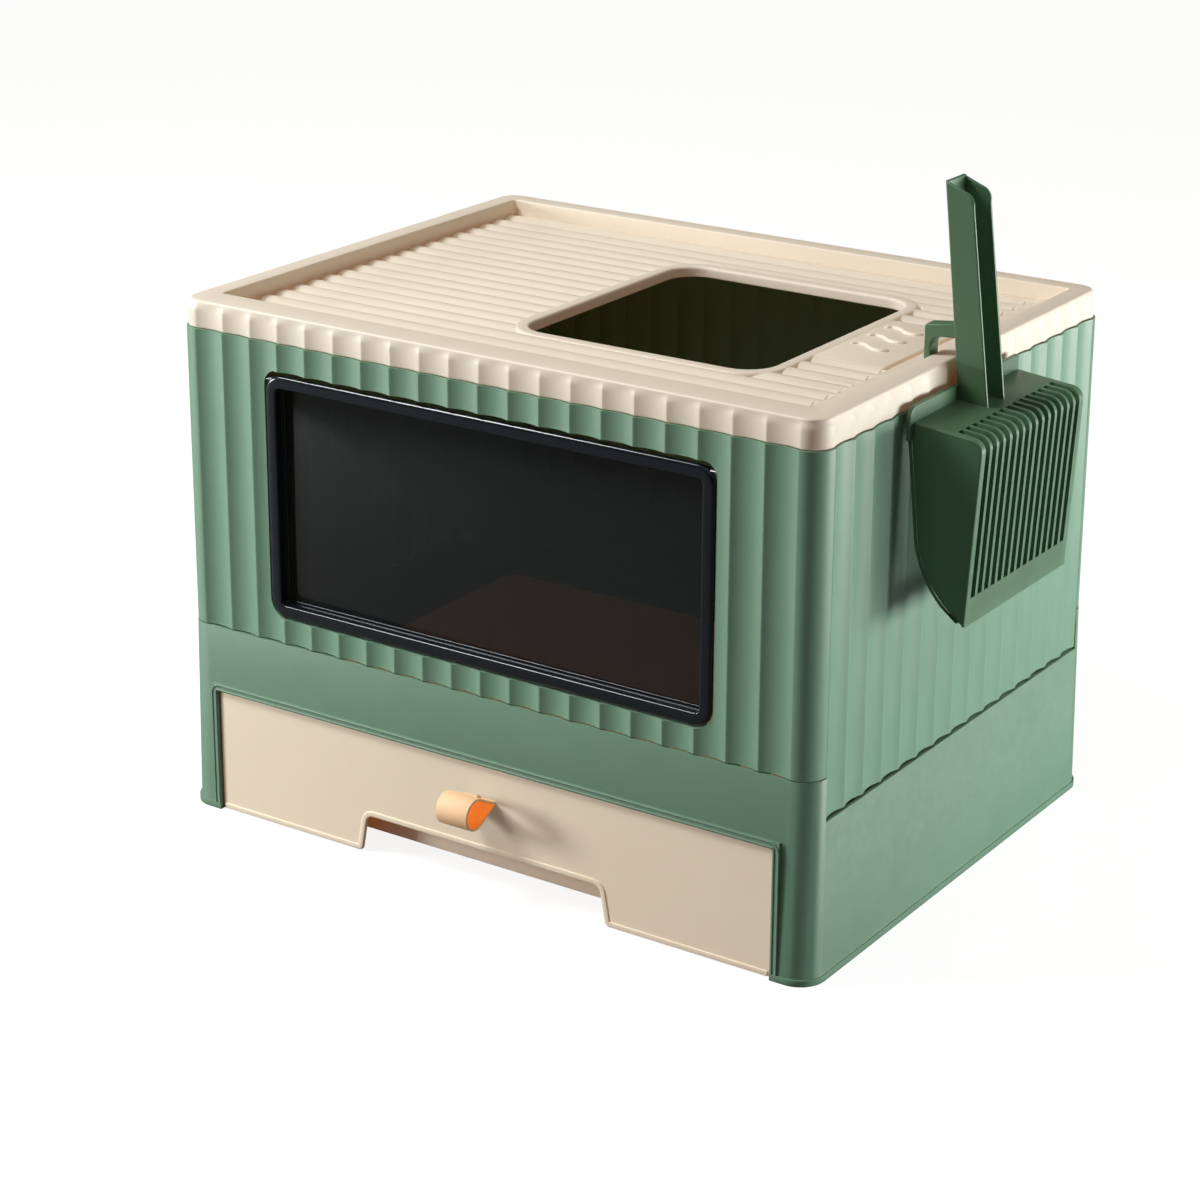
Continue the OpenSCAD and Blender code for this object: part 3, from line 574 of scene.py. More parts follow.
def plate(outline, low, high, soft, place):
    # a flat outline made thick from low to high, its edges rounded by insets
    outline = np.array(outline, float)
    area = (outline[:, 0] * np.roll(outline[:, 1], -1) - outline[:, 1] * np.roll(outline[:, 0], -1)).sum()
    if area < 0:
        outline = outline[::-1]
    bend = np.linspace(0, np.pi / 2, 4)
    edge = [(soft * (1 - np.sin(a)), soft * (1 - np.cos(a))) for a in bend]
    rows = [(soft + capInset, low)] + [(d, low + rise) for d, rise in edge]
    rows += [(d, high - rise) for d, rise in edge[::-1]] + [(soft + capInset, high)]
    return lidded(np.array([place(inset(outline, d), h) for d, h in rows]))


def alongY(flat, h):
    # a flat outline (x, z) stood up at the place y = h; alongX and level do the same for x and z
    return np.stack([flat[:, 0], np.full(len(flat), h), flat[:, 1]], axis=-1)


def alongX(flat, h):
    return np.stack([np.full(len(flat), h), flat[:, 0], flat[:, 1]], axis=-1)


def level(flat, h):
    return np.stack([flat[:, 0], flat[:, 1], np.full(len(flat), h)], axis=-1)


def outlineLoop(halfA, halfB, radius, steps=8):
    # corner centres and outward directions round a rectangle with round corners
    bend = np.linspace(0, np.pi / 2, steps + 1)
    centres, ways = [], []
    for k, (sa, sb) in enumerate([(1, 1), (-1, 1), (-1, -1), (1, -1)]):
        turn = bend + k * np.pi / 2
        centres.append(np.repeat([[sa * (halfA - radius), sb * (halfB - radius)]], steps + 1, axis=0))
        ways.append(np.stack([np.cos(turn), np.sin(turn)], axis=-1))
    return np.concatenate(centres), np.concatenate(ways)


def loopShell(centres, ways, radius, profile, place):
    # a closed profile of (offset outwards, height) carried round the loop
    offset, height = np.array(profile, float).T
    flat = centres[None] + ways[None] * np.maximum(radius + offset, 0.05)[:, None, None]
    points = place(flat[..., 0], flat[..., 1], np.broadcast_to(height[:, None], flat.shape[:2]))
    return grid(points, wrapRows=True, wrapColumns=True)


def lying(a, b, h):
    # a level loop; standing gives an upright one whose middle is that high
    return np.stack([a, b, h], axis=-1)


def standing(middle):
    return lambda a, b, h: np.stack([a, h, b + middle], axis=-1)


def closedPair(upper, lower):
    # joins the open edges of two matching sheets with a strip of quads
    shift = len(upper[0])
    edges = dict.fromkeys((a, b) for f in upper[1] for a, b in zip(f, f[1:] + f[:1]))
    strip = [[b, a, a + shift, b + shift] for a, b in edges if (b, a) not in edges]
    faces = upper[1] + strip + [[i + shift for i in f] for f in lower[1]]
    return np.concatenate([upper[0], lower[0]]), faces


mergeWithin, copyMergeWithin = 2e-6, 4e-6       # metres
flatWithin = 0.6                                # degrees


def addPiece(name, shells, material, body, replaced=(), thick=0.0, bevel=0.0, sharp=35.0):
    # shells are lists of points in millimetres and their faces, joined into one mesh
    points, faces, start = [], [], 0
    for shellPoints, shellFaces in shells:
        points.append(shellPoints * mm)
        faces += [[i + start for i in f] for f in shellFaces]
        start += len(shellPoints)
    mesh = bpy.data.meshes.new(name)
    mesh.from_pydata(np.concatenate(points).tolist(), [], faces)
    tidy = bmesh.new()
    tidy.from_mesh(mesh)
    bmesh.ops.remove_doubles(tidy, verts=tidy.verts, dist=mergeWithin)
    bmesh.ops.dissolve_degenerate(tidy, edges=tidy.edges, dist=1e-6)
    if not thick:
        bmesh.ops.recalc_face_normals(tidy, faces=tidy.faces)
    tidy.to_mesh(mesh)
    tidy.free()
    return finishPiece(name, mesh, material, body, replaced, thick, bevel, sharp)


def finishPiece(name, mesh, material, body, replaced, thick, bevel, sharp):
    mesh.materials.clear()
    mesh.materials.append(materials[material])
    mesh.polygons.foreach_set("use_smooth", [True] * len(mesh.polygons))
    if not bevel:
        mesh.set_sharp_from_angle(angle=math.radians(sharp))
    piece = bpy.data.objects.new(name, mesh)
    bpy.context.scene.collection.objects.link(piece)
    if thick:
        wall = piece.modifiers.new("wall", "SOLIDIFY")
        wall.thickness = thick * mm
        wall.offset = -1
        wall.use_even_offset = True
    if bevel:
        edge = piece.modifiers.new("edge", "BEVEL")
        edge.width = bevel * mm
        edge.segments = 3
        edge.limit_method = "ANGLE"
        edge.angle_limit = math.radians(sharp)
        edge.use_clamp_overlap = True
        edge.harden_normals = True
    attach(piece, body)
    if replaced:
        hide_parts(*replaced)
    return piece


def softCopy(node, material, body, bevel, sharp=32.0):
    # a copy of a node's mesh with its loose triangles joined, flat faces merged and edges rounded
    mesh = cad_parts[node].data.copy()
    tidy = bmesh.new()
    tidy.from_mesh(mesh)
    bmesh.ops.remove_doubles(tidy, verts=tidy.verts, dist=copyMergeWithin)
    bmesh.ops.dissolve_limit(tidy, angle_limit=math.radians(flatWithin), verts=tidy.verts, edges=tidy.edges)
    tidy.to_mesh(mesh)
    tidy.free()
    return finishPiece(node + "_skin", mesh, material, body, (node,), 0.0, bevel, sharp)


# fluted panels of the hood

panelLow, panelHigh = nodeBox("front_panel")
doorLow, doorHigh = nodeBox("door_frame")

hoodSet = {
    "halfX": panelHigh[0], "halfY": -panelLow[1],
    "pitch": 24.0, "deep": 2.5, "ridge": 0.35,      # spacing, depth and ridge softness of the flutes
    "across": 20, "along": 15, "corner": 16.5, "wall": 2.2,
    "top": panelHigh[2] - 0.5, "sideGap": 0.2, "sideLow": 0.3,
    "frontFoot": 140.8, "sideFoot": 111.4,
    "edge": 0.55,
}
openingSet = {
    "half": doorHigh[0] + 1.2, "low": doorLow[2] - 1.2, "high": doorHigh[2] + 3.0,
    "roundLow": 14.2, "roundHigh": 11.0, "stopGap": 0.15,      # stops nearer than this are one
    "jambFront": 1.2, "jambDeep": 12.0, "jambWall": 2.2, "jambEdge": 0.5, "jambGap": 0.02,
}


def fluteStops(count, pitch):
    # places along a row of flutes, closer together at the ridges
    steps = np.sin(np.linspace(-np.pi / 2, np.pi / 2, 13))
    middles = (np.arange(count) - (count - 1) / 2) * pitch
    return np.unique(np.round((middles[:, None] + steps[None] * pitch / 2).ravel(), 4))


def fluteDip(s, count, pitch, deep, ridge):
    # depth of a row of scooped arcs at s, the ridges between them rounded by a hyperbola
    toRidge = np.abs((s / pitch + count / 2 + 0.5) % 1 - 0.5) * pitch
    fromMiddle = pitch / 2 - np.hypot(toRidge, ridge) + ridge * ridge / pitch
    radius = (pitch * pitch / 4 + deep * deep) / (2 * deep)
    return np.sqrt(radius ** 2 - fromMiddle ** 2) - (radius - deep)


def cornerTurn(steps=8):
    # the angles of a quarter round
    return np.linspace(0, np.pi / 2, steps + 1)


def endColumns(s, x, endGap):
    # plan of a front panel: outer points of its flutes and of its two rounded corners
    dip = fluteDip(x, s["across"], s["pitch"], s["deep"], s["ridge"])
    y = -s["halfY"] + dip
    bend = cornerTurn()[1:]
    radius = s["corner"] - dip[0]
    cx, cy = s["halfX"] - s["corner"], -(s["halfY"] - s["corner"])
    cornerX = cx + radius * np.sin(bend)
    cornerY = cy - radius * np.cos(bend)
    cornerY[-1] -= endGap
    return np.concatenate([-cornerX[::-1], x, cornerX]), np.concatenate([cornerY[::-1], y, cornerY])


def openingEdge(x, s):
    # lowest and highest points of the window opening at x: level, then a quarter circle at each corner
    def circle(radius):
        return np.sqrt(radius ** 2 - np.clip(np.abs(x) - s["half"] + radius, 0, radius) ** 2)

    return (s["low"] + s["roundLow"] - circle(s["roundLow"]),
            s["high"] - s["roundHigh"] + circle(s["roundHigh"]))


def endPanel(s, opening=None):
    # scooped arcs across, straight upwards, with the quads inside the opening left out
    stops = fluteStops(s["across"], s["pitch"])
    if opening:
        bend = cornerTurn(7)
        arcs = np.concatenate([opening["half"] - opening[k] + opening[k] * np.sin(bend)
                               for k in ("roundLow", "roundHigh")])
        stops = np.unique(np.round(np.concatenate([stops, arcs, -arcs]), 3))
        stops = stops[np.concatenate([[True], np.diff(stops) > opening["stopGap"]])]
        stops[np.argmin(np.abs(stops - opening["half"]))] = opening["half"]
        stops[np.argmin(np.abs(stops + opening["half"]))] = -opening["half"]
    x, y = endColumns(s, stops, s["sideGap"])
    foot = np.full_like(x, s["frontFoot"])
    top = np.full_like(x, s["top"])
    if opening:
        low, high = openingEdge(x, opening)
    else:
        low, high = foot + 60, top - 60                           # rows only, nothing is left out
    zones = [(foot, low, 4), (low, high, 5), (high, top, 4)]      # below, beside and above the opening
    levels = [a + (b - a) * t for a, b, n in zones for t in np.linspace(0, 1, n)]
    z = np.delete(np.array(levels), [4, 9], axis=0)               # rows that two zones share
    points = np.stack([np.broadcast_to(x, z.shape), np.broadcast_to(y, z.shape), z], axis=-1)
    keep = np.ones((z.shape[0] - 1, z.shape[1] - 1), bool)
    if opening:
        middle = (x[1:] + x[:-1]) / 2
        keep[3:7] = np.abs(middle) > opening["half"]              # the four rows beside the opening
    return grid(points, keep=keep)


def sidePanel(s):
    # the same scooped arcs along a straight panel
    stops = fluteStops(s["along"], s["pitch"])
    stops[0] += s["sideGap"]
    stops[-1] -= s["sideGap"]
    x = s["halfX"] - fluteDip(stops, s["along"], s["pitch"], s["deep"], s["ridge"])
    z = np.linspace(s["sideFoot"], s["top"] - s["sideLow"], 7)
    points = np.stack(np.broadcast_arrays(x[None], stops[None], z[:, None]), axis=-1)
    return grid(points)


def spun(shell):
    # half a turn about the upright axis
    points, faces = shell
    return points * (-1, -1, 1), faces


def jamb(s, hood):
    # the collar behind the window opening: a flat ring as deep as the door's frame
    middle = (s["low"] + s["high"]) / 2
    halfZ = (s["high"] - s["low"]) / 2
    centres, ways = outlineLoop(s["half"], halfZ, s["roundHigh"])
    front = -(hood["halfY"] - hood["deep"] - s["jambFront"])
    back = -(hood["halfY"] - s["jambDeep"])
    wall, edge, gap = s["jambWall"], s["jambEdge"], s["jambGap"]
    profile = [(gap, front), (wall, front), (wall, back - edge), (wall - edge, back), (edge, back),
               (gap, back - edge)]
    return loopShell(centres, ways, s["roundHigh"], profile, standing(middle))


addPiece("front_panel_sheet", [endPanel(hoodSet, openingSet)], "hoodGreen", "base", ("front_panel",),
         thick=hoodSet["wall"], bevel=hoodSet["edge"], sharp=50)
addPiece("front_panel_jamb", [jamb(openingSet, hoodSet)], "hoodGreen", "base")
addPiece("back_panel_sheet", [spun(endPanel(hoodSet))], "hoodGreen", "base", ("back_panel",),
         thick=hoodSet["wall"], bevel=hoodSet["edge"], sharp=50)
addPiece("right_panel_sheet", [sidePanel(hoodSet)], "hoodGreen", "right_side", ("right_panel",),
         thick=hoodSet["wall"], bevel=hoodSet["edge"], sharp=50)
addPiece("left_panel_sheet", [spun(sidePanel(hoodSet))], "hoodGreen", "left_side", ("left_panel",),
         thick=hoodSet["wall"], bevel=hoodSet["edge"], sharp=50)

knuckleSet = {"radius": 3.0, "half": 7.0, "frontX": 204.0, "frontY": 188.5, "frontZ": 146.0,
              "sideX": 248.5, "sideY": 120.0, "sideZ": 116.0, "reach": 4.2, "rise": 3.4, "edge": 0.6,
              "boss": ((181.2, -193.5, 327.1), (191.2, -188.8, 333.5))}


def knuckle(x, y, z, onSide, s):
    # the round eye of a fold hinge and the block that joins it to the panel outside it
    middle = np.array([x, y, z])
    way = np.array([0.0, s["half"], 0.0] if onSide else [s["half"], 0.0, 0.0])
    out = np.array([np.sign(x) * s["reach"], 0, 0] if onSide else [0, np.sign(y) * s["reach"], 0])
    rise = np.array([0.0, 0.0, s["rise"]])
    block = roundBox(middle - way + np.minimum(-rise, out), middle + way + np.maximum(rise, out), s["edge"])
    return [roundBar(middle - way, middle + way, s["radius"]), block]


def knucklePieces(s):
    # four on the front and back panels, with the door's two bosses, and two on each side panel
    frontShells = [shell for x in (-1, 1) for y in (-1, 1)
                   for shell in knuckle(x * s["frontX"], y * s["frontY"], s["frontZ"], False, s)]
    (x0, y0, z0), (x1, y1, z1) = s["boss"]
    frontShells += [roundBox((min(k * x0, k * x1), y0, z0), (max(k * x0, k * x1), y1, z1), s["edge"])
                    for k in (-1, 1)]
    addPiece("end_knuckles", frontShells, "hoodGreen", "base")
    for name, side in (("right", 1), ("left", -1)):
        shells = [shell for y in (-1, 1)
                  for shell in knuckle(side * s["sideX"], y * s["sideY"], s["sideZ"], True, s)]
        addPiece(name + "_knuckles", shells, "hoodGreen", name + "_side")


knucklePieces(knuckleSet)
print("fluted panels ready")


# lid

lidHigh = nodeBox("lid")[1]

lidSet = {
    "foot": hoodSet["top"] + 0.3, "top": lidHigh[2], "wall": 2.5,
    "dipLow": 0.4, "dipShare": 0.68,                   # the skirt's flutes as a share of the hood's
    "fadeLow": 12.5, "fadeHigh": 18.6, "fadeLead": 0.6, "topDip": 1.9,    # where they end, how deep in
    "round": 1.5, "innerRound": 1.0, "innerCorner": 2.5, "footRound": 1.1, "footEdge": 0.4,
    "innerX": 238.0, "innerFront": -169.0, "innerBack": 178.0,
    "wallBend": 370.0, "tuck": 0.3, "tuckRise": 0.6,   # the inner wall leans in under the deck's edge
    "under": 360.5, "deckTop": 366.0, "ribHigh": 3.0, "ribs": 20, "groove": 0.7,
    "ribEnd": 236.4, "gapFloor": 360.2, "gapSlope": 0.5, "ribDrop": 1.0,     # a gap left of the ribs
    "deckThick": 1.2, "deckEdge": 0.8, "step": 0.02,   # a step this narrow looks upright
    "pitAcross": (210.6, 211.2, 214.2, 214.8), "ringPitAcross": (2.0, 3.6, 5.2, 5.8),
    "pitDeep": 3.4, "pitWide": 2.4,
}
holeSet = {"x": 54.5, "y": 11.0, "halfX": 95.5, "halfY": 106.0, "corner": 22.0, "ring": 10.0,
           "top": 366.3, "low": 358.5, "round": 2.2, "edge": 0.6}
pocketSet = {"x0": 232.2, "x1": 238.0, "y0": -68.0, "y1": -4.0, "floor": 360.3, "under": 358.3,
             "wall": 2.5, "tuck": 0.4}


def fourSides(x, y, low, high):
    # the sides of a rectangle, round from its front left corner, with a place at each stop
    front, back = (np.stack([x, np.full_like(x, v)], axis=-1) for v in (low[1], high[1]))
    left, right = (np.stack([np.full_like(y, v), y], axis=-1) for v in (low[0], high[0]))
    return front, right, back[::-1], left[::-1]


def rimColumns(sides, low, high, radius):
    # each side and then the arc of the corner at its end, and the outward direction of each place
    corners = np.array([(high[0], low[1]), high, (low[0], high[1]), low])
    outward = ((0.0, -1.0), (1.0, 0.0), (0.0, 1.0), (-1.0, 0.0))
    places, ways = [], []
    for k, (side, corner) in enumerate(zip(sides, corners)):
        turn = cornerTurn()[1:-1] + (k - 1) * np.pi / 2
        way = np.stack([np.cos(turn), np.sin(turn)], axis=-1)
        places += [side, corner - np.sign(corner) * radius + radius * way]
        ways += [np.broadcast_to(outward[k], side.shape), way]
    return np.concatenate(places), np.concatenate(ways)


def lidRim(s, hood):
    # the skirt whose flutes fade just below the rounded top edge, the flat rim and its inner wall
    half = lidHigh[:2]
    straight = np.array([hood["across"], hood["along"]]) * hood["pitch"] / 2
    stopsX, stopsY = fluteStops(hood["across"], hood["pitch"]), fluteStops(hood["along"], hood["pitch"])
    dipX = fluteDip(stopsX, hood["across"], hood["pitch"], hood["deep"], hood["ridge"])
    dipY = fluteDip(stopsY, hood["along"], hood["pitch"], hood["deep"], hood["ridge"])
    arcCount = len(cornerTurn()) - 2
    sideDips = (dipX, dipY, dipX[::-1], dipY[::-1])
    dip = np.concatenate([np.append(d, np.full(arcCount, d[0])) for d in sideDips])
    dip = s["dipLow"] + s["dipShare"] * dip
    outerPlaces, outerWays = rimColumns(fourSides(stopsX, stopsY, -half, half), -half, half,
                                        (half - straight).min())
    # the same columns on the inner rectangle: straight runs scaled, corners on a small radius
    low, high = np.array([-s["innerX"], s["innerFront"]]), np.array([s["innerX"], s["innerBack"]])
    middle, scale = (low + high) / 2, ((high - low) / 2 - s["innerCorner"]) / straight
    innerSides = fourSides(middle[0] + stopsX * scale[0], middle[1] + stopsY * scale[1], low, high)
    innerPlaces, innerWays = rimColumns(innerSides, low, high, s["innerCorner"])

    def outer(offset, z):
        flat = outerPlaces - outerWays * np.broadcast_to(offset, len(outerPlaces))[:, None]
        return np.column_stack([flat, np.full(len(flat), z)])

    def within(offset, z):
        flat = innerPlaces + innerWays * offset
        return np.column_stack([flat, np.full(len(flat), z)])

    foot, soft, edge = s["foot"], s["footRound"], s["footEdge"]
    back = hood["deep"] + s["wall"]
    rows = [outer(back, s["under"]), outer(back, foot + edge), outer(back - edge, foot),
            outer(dip + soft, foot)]
    for a in np.linspace(0, np.pi / 2, 5)[1:]:
        rows.append(outer(dip + soft * (1 - np.sin(a)), foot + soft * (1 - np.cos(a))))
    for z in np.linspace(foot + s["fadeLow"] - s["fadeLead"], s["top"] - s["round"], 8):
        t = np.clip((z - foot - s["fadeLow"]) / (s["fadeHigh"] - s["fadeLow"]), 0, 1)
        rows.append(outer(dip + (s["topDip"] - dip) * t * t * (3 - 2 * t), z))
    for a in np.linspace(0, np.pi / 2, 7)[1:]:
        rows.append(outer(s["topDip"] + s["round"] * (1 - np.cos(a)),
                          s["top"] - s["round"] * (1 - np.sin(a))))
    for a in np.linspace(0, np.pi / 2, 6):
        rows.append(within(s["innerRound"] * (1 - np.sin(a)), s["top"] - s["innerRound"] * (1 - np.cos(a))))
    rows.append(within(0.0, s["wallBend"]))
    rows.append(within(-s["tuck"], s["deckTop"] - s["ribHigh"] + s["tuckRise"]))
    rows.append(within(-s["tuck"], s["under"]))
    return grid(np.array(rows), wrapRows=True, wrapColumns=True)


def ribPitch(s):
    # the deck's depth shared out among the ribs
    return (s["innerBack"] - s["innerFront"]) / s["ribs"]


def toGroove(y, s):
    # distance from y to the nearest groove between two ribs
    return np.abs(((y - s["innerFront"]) / ribPitch(s) + 0.5) % 1 - 0.5) * ribPitch(s)


def ribHeight(y, s):
    # arcs side by side, the grooves between them rounded by a hyperbola
    pitch = ribPitch(s)
    fromMiddle = pitch / 2 - np.hypot(toGroove(y, s), s["groove"]) + s["groove"] ** 2 / pitch
    radius = (pitch ** 2 / 4 + s["ribHigh"] ** 2) / (2 * s["ribHigh"])
    return s["deckTop"] - radius + np.sqrt(radius ** 2 - fromMiddle ** 2)


def lidDeck(s, hole, pocket, pad):
    # the ribbed slab between the rim and the ring, with the pocket sunk in its right edge
    steps = np.sin(np.linspace(-np.pi / 2, np.pi / 2, 9))
    middles = s["innerFront"] + (np.arange(s["ribs"]) + 0.5) * ribPitch(s)
    ribStops = (middles[:, None] + steps[None] * ribPitch(s) / 2).ravel()
    reach = hole["ring"] - hole["round"]
    hx, hy, r = hole["halfX"] + reach, hole["halfY"] + reach, hole["corner"] + reach
    arcs = hy - r + r * np.sin(cornerTurn(7))
    step = s["step"]
    others = [pocket["y0"], pocket["y0"] + step, pocket["y1"] - step, pocket["y1"],
              s["innerFront"] - s["deckEdge"], s["innerBack"] + s["deckEdge"]]
    y = np.unique(np.round(np.concatenate([ribStops, hole["y"] + arcs, hole["y"] - arcs, others]), 3))
    # half the ring's width at y: its straight side, then a quarter circle
    beyond = np.clip(np.abs(y - hole["y"]) - (hy - r), 0, r)
    halfAt = hx - r + np.sqrt(np.maximum(r * r - beyond ** 2, 0))
    left, right = (hole["x"] - halfAt)[:, None], (hole["x"] + halfAt)[:, None]
    edge, gapEnd, ribStart = s["innerX"] + s["deckEdge"], -s["ribEnd"], -s["ribEnd"] + s["ribDrop"]
    x = np.concatenate([np.ones((len(y), 1)) * [[-edge, gapEnd - s["gapSlope"], gapEnd, ribStart]],
                        ribStart + (left - ribStart) * [[0.5, 1.0]],
                        left + (right - left) * [[0.34, 0.67, 1.0]],
                        right + [s["ringPitAcross"]],
                        np.ones((len(y), 1)) * [[*s["pitAcross"], pocket["x0"], pocket["x0"] + step, edge]]],
                       axis=1)
    # which of these columns are the gap, its shore, the ring, the pits and the flat right edge
    gap, shore, ring, ringPits = slice(0, 2), 2, slice(5, 8), slice(10, 12)
    edgePits, flatEdge = slice(14, 16), slice(16, None)
    z = np.broadcast_to(ribHeight(y, s)[:, None], x.shape).copy()
    # pits at the grooves' ends, beside the ring and along the right edge: a bell curve along y
    bell = s["pitDeep"] * np.exp(-(toGroove(y, s) / s["pitWide"]) ** 2)
    padFront, padBack = pad[0][1], pad[1][1]
    byRing = (np.abs(y - hole["y"]) < hy + 2) & (y > padBack)
    byPad = (y > padFront) & (y < padBack)
    z[:, ringPits] -= np.where(byRing, bell, 0)[:, None]
    z[:, edgePits] -= bell[:, None]
    z[:, flatEdge] = s["deckTop"]
    z[byPad, edgePits] = s["deckTop"] - s["ribHigh"] - s["pitDeep"]
    z[:, gap] = s["gapFloor"]
    z[:, shore] -= s["ribDrop"]
    z[(y < s["innerFront"]) | (y > s["innerBack"])] = s["deckTop"] - s["ribHigh"]
    byPocket = (y > pocket["y0"] + step / 2) & (y < pocket["y1"] - step / 2)
    z[(x > pocket["x0"] + step / 2) & byPocket[:, None]] = pocket["floor"]
    keep = np.ones((len(y) - 1, x.shape[1] - 1), bool)
    keep[np.abs((y[1:] + y[:-1]) / 2 - hole["y"]) < hy, ring] = False
    top = np.stack(np.broadcast_arrays(x, y[:, None], z), axis=-1)
    bottom = top.copy()
    bottom[..., 2] = s["gapFloor"] - s["deckThick"]
    return closedPair(grid(top, keep=keep), turned(grid(bottom, keep=keep)))


def holeRing(s):
    # flat ring with rounded lips round the entry hole, down to its own lower edge
    centres, ways = outlineLoop(s["halfX"], s["halfY"], s["corner"])
    soft = s["round"]
    bend = np.linspace(0, np.pi / 2, 6)
    innerLip = [(soft - soft * np.sin(a), s["top"] - soft + soft * np.cos(a)) for a in bend]
    outerLip = [(s["ring"] - soft + soft * np.sin(a), s["top"] - soft + soft * np.cos(a)) for a in bend[::-1]]
    foot = [(0.0, s["low"] + s["edge"]), (s["edge"], s["low"]), (s["ring"], s["low"])]
    loop = foot + outerLip + innerLip
    return loopShell(centres + (s["x"], s["y"]), ways, s["corner"], loop, lying)


lidExtras = {
    "pad": ((158.0, -40.0, 362.5), (211.0, 66.0, 366.15)), "padRound": 1.0,
    "guideHalf": 192.0, "guideWall": 2.0, "guideLow": 349.6, "guideGap": 0.5,
    "waveX": 179.5, "waveY": (-2.0, 22.0, 45.5), "waveLong": 34.0, "waveWide": 4.4, "waveThick": 1.9,
    "waveLean": 0.12, "waveLift": 0.2, "waveFlat": 0.9,
}


def waveMark(x, y, s):
    # one period of a sine makes an S, thinner at its ends
    t = np.linspace(-0.5, 0.5, 31)
    path = np.stack([x + s["waveLong"] * t * (1 - s["waveLean"] * np.cos(4 * np.pi * t)),
                     y - s["waveWide"] * np.sin(2 * np.pi * t),
                     np.full_like(t, lidSet["deckTop"] + s["waveLift"])], axis=-1)
    size = s["waveThick"] * np.sqrt(np.clip(1 - (2 * t) ** 12, 0.05, 1))
    return sweep(path, (0, 0, 1), size, s["waveFlat"])


def lidShells():
    # rim, deck and ring, the pad with its three waves, two guide ribs below and the pocket's block
    s, e, p = lidSet, lidExtras, pocketSet
    shells = [lidRim(s, hoodSet), lidDeck(s, holeSet, p, e["pad"]), holeRing(holeSet)]
    shells.append(roundBox(*e["pad"], e["padRound"]))
    shells += [waveMark(e["waveX"], y, e) for y in e["waveY"]]
    inner = hoodSet["halfY"] - hoodSet["deep"] - hoodSet["wall"] - e["guideGap"]
    for side in (-1, 1):
        ends = sorted((side * inner, side * (inner - e["guideWall"])))
        shells.append(roundBox((-e["guideHalf"], ends[0], e["guideLow"]),
                               (e["guideHalf"], ends[1], s["under"] + 0.5), 0.5))
    shells.append(roundBox((p["x0"] - p["wall"], p["y0"] - p["wall"], p["under"]),
                           (p["x1"] + p["tuck"], p["y1"] + p["wall"], p["floor"]), 0.4))
    return shells


addPiece("lid_shell", lidShells(), "lidBeige", "lid", ("lid",), sharp=40)
print("lid ready")


# door

doorSet = {
    "halfX": doorHigh[0], "low": doorLow[2], "high": doorHigh[2], "corner": 13.0,
    "face": doorLow[1], "back": doorLow[1] + 11.0, "flange": 3.0, "wide": 9.0, "wall": 2.0,
    "outerRound": 2.6, "innerRound": 1.3, "edge": 0.4,
    "lip": 2.4, "lipFront": doorLow[1] + 6.9, "lipRound": 0.5, "lipEdge": 0.3,
    "paneFace": doorLow[1] + 8.2, "shoulderEdge": (0.5, 0.3),
    "axisY": -192.0, "axisZ": 330.3, "knuckle": 3.2, "knuckleX": (161.2, 173.8),
    "blockFront": 1.2, "blockBack": 1.0, "blockEdge": 0.3,
}


def doorFrame(s):
    # rounded face, inner wall down to a lip for the pane, thin wall behind: one profile round the door
    face, back, wide, edge = s["face"], s["back"], s["wide"], s["edge"]
    r, q, lipRound, shoulder = s["outerRound"], s["innerRound"], s["lipRound"], face + s["flange"]
    edgeIn, edgeUp = s["shoulderEdge"]
    profile = np.concatenate([
        arcPoints((-r, face + r), r, 0, -90, 6),
        arcPoints((-wide + q, face + q), q, -90, -180, 5),
        [(-wide, s["lipFront"] - edge), (-wide - s["lipEdge"], s["lipFront"])],
        arcPoints((-wide - s["lip"] + lipRound, s["lipFront"] + lipRound), lipRound, -90, -180, 3),
        [(-wide - s["lip"], s["paneFace"]), (-wide, s["paneFace"]),
         (-wide, back - edge), (-wide + edge, back),
         (-wide + s["wall"] - edge, back), (-wide + s["wall"], back - edge),
         (-wide + s["wall"], shoulder), (-edgeIn, shoulder), (0, shoulder - edgeUp)]])
    middle, halfZ = (s["low"] + s["high"]) / 2, (s["high"] - s["low"]) / 2
    centres, ways = outlineLoop(s["halfX"], halfZ, s["corner"], 12)
    return loopShell(centres, ways, s["corner"], profile, standing(middle))


def doorShells(s):
    # the frame, and at each top corner a round eye for the hinge pin on its block
    shells = [doorFrame(s)]
    for side in (-1, 1):
        ends = [(side * x, s["axisY"], s["axisZ"]) for x in s["knuckleX"]]
        shells.append(roundBar(*ends, s["knuckle"]))
        x0, x1 = sorted(side * x for x in s["knuckleX"])
        shells.append(roundBox((x0, s["face"] + s["blockFront"], s["axisZ"] - s["knuckle"]),
                               (x1, s["axisY"] + s["knuckle"] - s["blockBack"], s["axisZ"]), s["blockEdge"]))
    return shells


addPiece("door_frame_ring", doorShells(doorSet), "frameBlack", "door", ("door_frame",), sharp=50)
softCopy("door_pane", "smokedPane", "door", 0.3)
print("door ready")


# scoop

